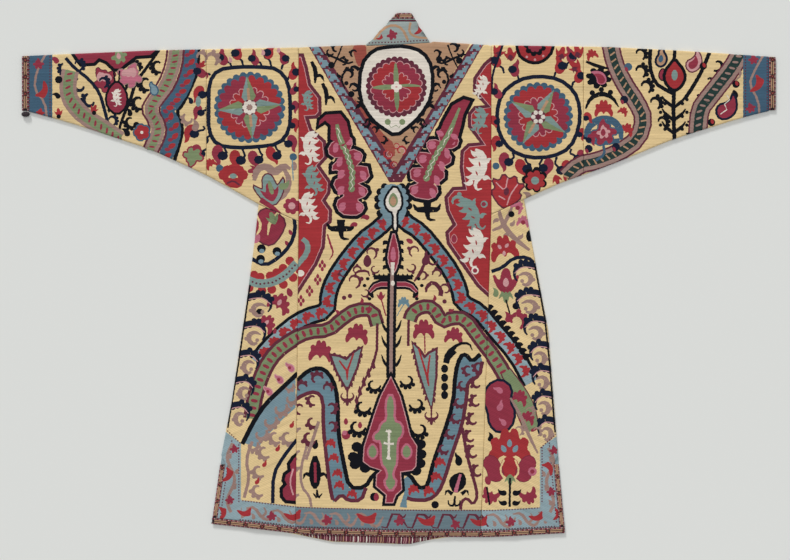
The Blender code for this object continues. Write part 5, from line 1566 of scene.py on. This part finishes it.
def right_gore():
    end = [(24.4, -71.6), (27.0, -76.2), (28.6, -79.6), (30.0, -84.0)]
    ribbon("maroon", end, (2.6, 3.9, 4.6, 3.8))
    ribbon("sage", end, (2.0, 3.4, 4.2, 3.2))
    for x, y, size in ((27.4, -77.4, 1.7), (29.2, -81.8, 1.5)):
        sprig("crimson", x, y, size, -20)
    branch = [(22.6, -35.2), (23.6, -39.0), (26.0, -42.2), (29.6, -44.9)]
    ribbon("mauve", branch, (0.5, 1.2, 1.2, 0.6))
    ribbon("mauve", [(21.4, -40.6), (23.8, -39.6), (25.4, -36.4), (25.9, -34.6)], (0.5, 0.9, 0.8, 0.4))
    for x, y, turn in ((22.2, -38.6, 140), (24.4, -41.9, 150), (27.6, -41.8, -30), (25.8, -38.9, -20)):
        sprig("mauve", x, y, 0.9, turn, FLAME)
    disc("night", 25.6, -37.0, 0.7)
    for x, y, turn in ((28.2, -38.6, -10), (27.0, -35.4, -40)):
        sprig("pink", x, y, 1.3, turn)
        disc("crimson", x, y - 0.2, 0.5)
    disc("night", 29.6, -41.8, 0.8, 1.3)
    sprig("red", 24.0, -44.6, 2.9, 8)
    for x, y, turn in ((23.0, -44.2, 40), (24.6, -43.9, -40), (24.0, -45.6, 0)):
        sprig("rose", x, y, 0.62, turn, BUD)
    ribbon("navy", [(21.2, -49.6), (23.6, -48.8), (26.0, -46.6), (29.2, -46.4), (31.0, -48.2)], 0.8)
    for leaf in (
        ("crimson", 24.4, -51.8, 3.1, 0, TULIP), ("rose", 24.4, -52.0, 1.1, 0, BUD),
        ("sage", 24.4, -54.9, 1.7, 180, TULIP), ("sage", 21.9, -54.2, 1.2, 30, FLAME),
    ):
        sprig(*leaf)
    for hand in (-1, 1):
        ribbon("crimson", [(24.4, -54.0), (24.4 + hand * 1.7, -52.6), (24.4 + hand * 2.6, -50.4)],
            (0.9, 1.1, 0.4))
    ribbon("night", [(24.4, -55.8), (25.4, -59.4)], 0.35)
    disc("night", 26.6, -57.2, 0.8)
    scroll("crimson", 26.6, -60.6, 1.9, 30, 1, 3, 0.6, 260)
    sprig("crimson", 24.6, -59.6, 1.4, 30, FLAME)
    for y, wide in (
        (-48.8, 4.6), (-54.9, 5.2), (-60.7, 4.6), (-66.3, 3.9), (-71.6, 3.8), (-77.2, 3.8), (-82.9, 3.4),
    ):
        crescent(1, side_x(1, y) - 0.3, y, wide)
    ribbon("night", [(side_x(1, y) - 0.25, y) for y in (-48.0, -60.0, -70.0, -85.0)], 0.4, 0)
    for x, y, way in along([(20.2, -57.0), (23.2, -60.6), (26.2, -64.4), (29.2, -69.0)], 1.5):
        patch("night", rounded(placed([(-0.9, -0.7), (0.9, -0.7), (0.5, 0.4), (0.6, 1.1), (-0.5, 0.8)], x, y,
            1.0, way)))
    layered(rounded([(19.6, -78.0), (20.4, -74.8), (23.2, -73.4), (25.6, -75.2), (25.1, -78.4),
        (26.3, -80.6), (25.5, -83.8), (22.8, -85.0), (20.9, -83.2), (20.7, -80.6)]), ("navy", 0.55),
        ("crimson", 0.0))
    for x, y, size, turn in ((22.6, -75.6, 1.3, 60), (23.2, -79.0, 1.4, -20), (23.6, -82.6, 1.2, 40)):
        sprig("pink", x, y, size, turn, CURL)
    sprig("night", 20.8, -86.0, 1.2, 20, FLAME)
    ribbon("mauve", [(25.4, -77.4), (27.6, -81.2), (29.4, -85.6), (31.4, -89.6)], (0.4, 0.8, 0.8, 0.4))
    for x, y in ((29.4, -80.4), (31.0, -84.8), (27.0, -84.6)):
        scroll("mauve", x, y, 1.1, 20, 1, 3, 0.42, 220)
    sprig("red", 25.2, -88.6, 4.4)
    for x, y, turn in ((23.9, -88.6, 30), (25.2, -87.4, 0), (26.5, -88.6, -30)):
        sprig("ice", x, y, 0.95, turn, BUD)
    patch("red", rounded([(23.8, -90.4), (26.6, -90.4), (27.6, -93.4), (25.2, -95.6), (22.8, -93.4)]))
    for hand in (-1, 1):
        layered(rounded([(25.2 + hand * 1.6, -92.8), (25.2 + hand * 3.0, -90.4), (25.2 + hand * 5.0, -90.0),
            (25.2 + hand * 6.0, -92.0), (25.2 + hand * 4.9, -93.4), (25.2 + hand * 4.6, -95.4),
            (25.2 + hand * 2.6, -96.0), (25.2 + hand * 1.2, -94.8)]), ("maroon", 0.12), ("crimson", 0.0))
        ribbon("straw", [(25.2 + hand * 1.2, -91.0), (25.2 + hand * 2.2, -93.4), (25.2 + hand * 1.0, -95.4)],
            0.4)
        for leaf in (
            ("crimson", 25.2 + hand * 4.2, -99.0, 1.8, 180 + hand * 20), ("night", 25.2 + hand * 1.6, -98.0,
            1.2, hand * -50, FLAME, hand), ("night", 25.2 + hand * 1.5, -100.3, 1.1, hand * -60, FLAME, hand),
        ):
            sprig(*leaf)
    sprig("sage", 25.3, -95.4, 1.3, 180, TULIP)
    ribbon("night", [(25.3, -95.0), (25.2, -101.4)], 0.5, 0)
    sprig("crimson", 20.4, -95.6, 1.1, 20, BUD)
    ribbon("night", [(20.2, -97.0), (20.8, -101.0)], 0.4)
    disc("pink", 30.2, -93.6, 1.0)
    disc("crimson", 30.2, -93.6, 0.5)


def side_border(hand, inner, top):
    """The border turned up beside the slit, closed above by a slanted step."""
    outer = [(side_x(hand, y) + hand, y) for y in (-107.0, -98.0, top + 3.2)]
    patch("mist", [(hand * inner, -104.0), (hand * inner, top)] + outer[::-1])
    border_dots([(hand * (inner + 0.45), -100.5), (hand * (inner + 0.45), top)])
    border_dots([(hand * inner, top - 0.1), (side_x(hand, top + 3.0), top + 3.0)])
    border_dots([(side_x(hand, y) - hand * 1.7, y) for y in (-105.0, -98.0, top + 1.0)])
    vine = [(hand * (inner + 2.2 + 0.9 * math.sin(step * 1.1)), -102.6 + step * (top + 102.6) / 9)
        for step in range(10)]
    ribbon("mauve", vine, 0.7)
    for x, y in vine[1:-1:2]:
        sprig("mauve", x - hand * 0.9, y + 0.6, 0.8, 40 * hand, FLAME, hand)


def gore_cut(hand, layer):
    """The cut of a gore, and the line of its side seam."""
    top = [(hand * (21.2 + SEW), (-38.5 if hand < 0 else -37.0) - 0.09),
        (hand * (30.0 if hand < 0 else 28.4), (-34.8 if hand < 0 else -33.7) - 0.09)]
    if layer == "back":
        heights = [-36.0, -43.0, -54.0, -62.5, -78.0, -86.7, -90.0, -90.6, -91.2, -92.0, -98.0]
        side = [(side_x(hand, y) - hand * slit_step(y), y) for y in heights]
        foot_x = side_x(hand, -106.0) - hand * 1.13
        foot = [(x, hem(x) + BRAID_WIDE + 0.03) for x in np.linspace(foot_x,
            hand * (21.9 if hand < 0 else 18.9), 6)]
        inner = [(back_seam(hand, y) + hand * SEW, y) for y in (-104.0, -90.0, -70.0, -50.0)]
        return top + side + foot + inner, [[(side_x(hand, y), y) for y in (-34.0, -43.0, -54.0, -62.5, -78.0,
            -86.7, -89.6)]]
    heights = [-36.0, -43.0, -54.0, -62.5, -78.0, -86.7, -96.0, -104.0]
    side = [(side_x(hand, y), y) for y in heights]
    foot = [(x, read(FRONT_HEM, x)) for x in np.linspace(side_x(hand, -106.0), hand * (21.2 + SEW), 5)]
    line = [(side_x(hand, y), y) for y in (-34.0, -43.0, -54.0, -62.5, -78.0, -86.7, -89.6)]
    turned = [(x, on_front(x, y)) for x, y in top + side + foot]
    return turned, [[(x, on_front(x, y)) for x, y in line]]


def gore_border(hand):
    hem_border(-40.8 if hand < 0 else 17.8, -20.8 if hand < 0 else 38.6, "mist", "mauve")
    if hand < 0:
        side_border(-1, 33.9, -87.4)
        leaves = ((-35.4, -88.6, 1.1, 0, OAK, "crimson"), (-36.9, -94.6, 1.7, 60, SAIL, "red"),
            (-36.4, -99.8, 1.1, 0, OAK, "crimson"), (-38.0, -103.0, 1.5, 80, SAIL, "red"),
            (-33.2, -102.6, 1.6, 0, SAIL, "red"), (-27.2, -103.4, 1.2, 0, OAK, "crimson"),
            (-22.6, -103.4, 1.9, 0, SAIL, "red"))
    else:
        side_border(1, 31.9, -88.4)
        leaves = ((34.9, -88.9, 1.1, 0, OAK, "crimson"), (33.9, -93.0, 1.6, 120, SAIL, "red"),
            (34.3, -98.0, 1.1, 0, OAK, "crimson"), (31.0, -103.6, 1.6, 10, SAIL, "red"),
            (25.4, -104.6, 1.2, 0, OAK, "crimson"), (18.4, -104.6, 1.9, 0, SAIL, "red"),
            (35.6, -103.2, 1.3, 70, SAIL, "red"))
    for x, y, size, turn, shape, thread in leaves:
        sprig(thread, x, y, size, turn, shape)


for hand, side_name, silk, lean, motifs in (
    (-1, "left", left_silk, LEFT_LEAN, left_gore), (1, "right", right_silk, RIGHT_LEAN, right_gore),
):
    for layer in ("back", "front"):
        blue_band(LEFT_BAND if hand < 0 else RIGHT_BAND, "mist")
        dashed_arch(LEFT_ARCH if hand < 0 else RIGHT_ARCH, 2.3, 0, None)
        motifs()
        gore_border(hand)
        if layer == "front":
            turned = [(thread, [(x, on_front(x, y)) for x, y in shape]) for thread,
                shape in drawn if len(shape) > 4]
            drawn[:] = turned
        outline, line = gore_cut(hand, layer)
        name = f"gore_{layer}_{side_name}"
        gore, cut, area = embroider(name + "_silk", outline, silk, rolled=line, lean=lean)
        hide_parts(name)

# ---- collar
# A standing band sewn round the neck, here lying flat with its two sides folded forward. It is of the same
# embroidery on a grey-blue ground, with a vine, a red leaf and a row of crimson stitches along its seam.

COLLAR = [(0.4, -6.3, 8.0), (2.6, -4.2, 6.6), (4.4, -2.5, 5.4), (5.9, -1.0, 4.5), (7.3, 0.3, 3.6)]


def around_neck(x, y):
    """Where a point of the collar's cut comes to lie: straight across the back and folded forward at both
    sides."""
    left = column([(row[0], row[1]) for row in COLLAR], y) + FOLD_REACH
    right = column([(row[0], row[2]) for row in COLLAR], y) - FOLD_REACH
    hand = np.where(x > right, 1.0, -1.0)
    over = np.maximum(np.where(x > right, x - right, left - x), 0.0)
    turn = np.clip(over / FOLD_REACH, 0, math.pi)
    corner = np.where(x > right, right, left)
    past = np.maximum(over - FOLD_LENGTH, 0.0)
    flat_x = np.where(over > 0, corner + hand * (FOLD_REACH * np.sin(turn) - past), x)
    up = FOLD_REACH + FOLD_REACH * np.cos(turn)
    return np.stack([flat_x, y, up], 1), np.stack([hand * np.sin(turn), np.zeros_like(x), np.cos(turn)], 1)


def neck_edge(x):
    return read(SHOULDER, x) - FOLD_MIDDLE - 8.0 * math.sqrt(max(0.0, 1 - ((x - 0.85) / 7.15) ** 2))


collar_cut = [(x, read(SHOULDER, x) - 0.06) for x in (-6.02, -3.0, 0.0, 4.0, 7.72)]
collar_cut += [(8.2, 0.75), (8.6, 0.6)] + [(16.32 - x, neck_edge(x) + 0.1) for x in (7.5, 6.8, 5.5, 3.8, 2.0,
    0.2)]
collar_cut += [(7.37, 5.97), (4.17, 5.97), (1.8, 5.97), (-0.62, 5.97), (-3.77, 5.97)]
collar_cut += [(-12.92 - x, neck_edge(x) + 0.1) for x in (-0.15, -2.0, -3.4, -4.8, -5.8)] + [(-6.9, 0.1),
    (-6.46, 0.12)]
border_dots([(x, read(SHOULDER, x) + 0.45) for x in (-6.0, 0.0, 8.0)], 0.7)
ribbon("salmon", [(-4.6, 1.4), (-2.6, 3.9), (-0.4, 4.7), (1.6, 3.9), (2.9, 1.2)], 0.55)
ribbon("salmon", [(3.4, 5.2), (3.0, 3.0), (4.6, 1.9), (7.2, 1.8)], 0.5)
for leaf in (
    ("crimson", -0.7, 2.5, 1.3, 10, OAK), ("red", 5.2, 3.5, 1.3, 60, SAIL), ("red", -3.4, 1.8, 0.8, 30, SAIL),
):
    sprig(*leaf)
ribbon("maroon", [(-1.4, 5.6), (4.8, 5.6)], 0.3, 0)
for x in (10.0, 13.0, -8.0, -10.5):
    sprig("red", x, -1.0, 1.3, 20, SAIL)
collar, cut, area = embroider("collar_silk", collar_cut, level_silk, around_neck, ground="fog")
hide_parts("collar")

# ---- edge braid
# A narrow braid of wool and silk, woven straight onto the edge with hand-held loops. It binds the collar's
# top, the cuffs, the hem and both side slits: dark checked edges and salmon dashes parted by dark crosses.

wool = laid_silk("woven braid", 0.0, 0.13)


def braid_pattern(line, wide):
    """The weave of the braid along its middle line."""
    for at, (x, y, way) in enumerate(along(line, 0.34)):
        for side in (-1, 1):
            angle = math.radians(way + 90 * side)
            thread = ("mauve", "crimson", "rose")[(at + side) % 3]
            edge_x = x + wide * 0.41 * math.cos(angle)
            edge_y = y + wide * 0.41 * math.sin(angle)
            patch(thread, stitch_block(0.11, 0.13, edge_x, edge_y, way))
    for x, y, way in along(line, 3.7):
        for row in (-0.15, 0.15):
            dash = [(-1.45, 0.0), (-1.25, 0.12), (1.25, 0.12), (1.45, 0.0), (1.25, -0.12), (-1.25, -0.12)]
            turn = math.radians(way + 90)
            patch("salmon", placed(dash, x + row * wide * math.cos(turn), y + row * wide * math.sin(turn),
                1.0, way))
    for x, y, way in along(line, 3.7, 1.0):
        for tilt in (-45, 45):
            patch("terracotta", stitch_block(0.38, 0.06, x, y, way + tilt))


def straight_up(x):
    return np.stack([np.zeros_like(x), np.zeros_like(x), np.ones_like(x)], 1)


def on_back_edge(x, y):
    return np.stack([x, y, 0.6 + rise(x, y)], 1), straight_up(x)


def add_braid(name, node, line, wide, outline, settle, rolled):
    braid_pattern(line, wide)
    piece, cut, area = embroider(name, outline, wool, settle, rolled=rolled, ground="soot", step=0.6,
        wall=0.0026)
    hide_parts(node)
    return piece


hem_xs = [float(x) for x in np.linspace(-40.25, 37.35, 24)]
hem_line = [(x, hem(x) + 0.7) for x in hem_xs]
hem_low = [(x, hem(x)) for x in hem_xs]
hem_high = [(x, hem(x) + BRAID_WIDE) for x in hem_xs]
hem_braid = add_braid("hem_braid_weave", "hem_braid", hem_line, 1.3, hem_low + hem_high[::-1], on_back_edge,
    [hem_low])
slits = []
for hand, side_name in ((-1, "left"), (1, "right")):
    ys = [hem(side_x(hand, -106.0)) + BRAID_WIDE + 0.03, -100.0, -96.0, -92.05]
    outer = [(side_x(hand, y), y) for y in ys]
    inner = [(x - hand * 1.1, y) for x, y in outer]
    line = [(x - hand * 0.55, y) for x, y in outer]
    slits.append(add_braid(f"slit_braid_{side_name}_weave", "slit_braid_" + side_name, line, 1.0,
        outer + inner[::-1], on_back_edge, [outer]))
cuffs = []
for first, last, side_name in ((-82.1, -80.6 - SEW, "left"), (82.3 + SEW, 83.8, "right")):
    middle = (first + last) / 2
    line = up_over(middle, read(UNDERSLEEVE, middle))
    outline = [(first, line[0][1])] + up_over(last, line[0][1]) + up_over(first, line[0][1])[::-1][:-1]
    rolled = [[(first, line[0][1]), (last, line[0][1])], [(first, line[-1][1]), (last, line[-1][1])]]
    cuffs.append(add_braid(f"cuff_braid_{side_name}_weave", "cuff_braid_" + side_name, line, 1.4, outline,
        over_shoulder, rolled))
top_cut = [(7.35, 6.0), (4.12, 6.0), (1.8, 6.0), (-0.6, 6.0), (-3.75, 6.0), (-1.6, 7.28), (0.58, 7.28),
    (3.3, 7.28), (5.6, 7.28)]
add_braid("collar_braid_weave", "collar_braid", [(-3.2, 6.65), (6.9, 6.65)], 1.15, top_cut, around_neck, [])

# ---- lining
# Plum cotton with pale warp streaks, which lines the robe. It shows only below the back hem, where the front
# hangs a little lower.

cotton = laid_silk("lining cotton", 90.0, 0.08)


def on_lining(x, y):
    return np.stack([x, y, np.full_like(x, 0.35)], 1), straight_up(x)


streaks = random.Random(7)
for spot in range(51):
    x = -20.8 + spot * 0.63 + streaks.uniform(-0.2, 0.2)
    ribbon(streaks.choice(("cream", "salmon", "rose", "mauve")), [(x, -106.0), (x + 0.1, -108.4),
        (x, -110.0)], streaks.uniform(0.1, 0.28), 0)
lining_xs = [float(x) for x in np.linspace(-20.95, 11.0, 22)]
lining_cut = [(x, read(FRONT_HEM, x) + 0.04) for x in lining_xs] + [(x,
    max(hem(x) - 0.03, read(FRONT_HEM, x) + 0.12)) for x in reversed(lining_xs)]
lining, cut, area = embroider("lining_cotton_strip", lining_cut, cotton, on_lining, ground="maroon",
    wall=0.0008)
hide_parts("lining_strip")

# ---- knot of the left cuff
# The braid's dark threads knotted together at the lower end of the left cuff, where the maker finished it
# off.

knot_bm = bmesh.new()
bmesh.ops.create_icosphere(knot_bm, subdivisions=5, radius=1.0)
for vert in knot_bm.verts:
    x, y, z = vert.co
    turn = math.atan2(y, z) * 3 + x * 7.0
    vert.co *= 1.0 + 0.07 * math.cos(turn * 2) - 0.06 * math.exp(-(x / 0.18) ** 2)
    vert.co = Vector((vert.co.x * 0.0088 - 0.813, vert.co.y * 0.0056 - 0.15,
        vert.co.z * 0.0042 + 0.0046)) + ROBE_AT
knot_mesh = bpy.data.meshes.new("cuff_knot")
knot_bm.to_mesh(knot_mesh)
knot_bm.free()
knot_mesh.shade_smooth()
knot_thread = bpy.data.materials.new("dark knot thread")
knot_thread.use_nodes = True
knot_thread.node_tree.nodes["Principled BSDF"].inputs["Base Color"].default_value = (0.03, 0.02, 0.025, 1.0)
knot_thread.node_tree.nodes["Principled BSDF"].inputs["Roughness"].default_value = 0.8
knot_mesh.materials.append(knot_thread)
knot = bpy.data.objects.new("cuff_knot", knot_mesh)
bpy.context.scene.collection.objects.link(knot)
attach(knot, "root")
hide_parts("cuff_knot_left")
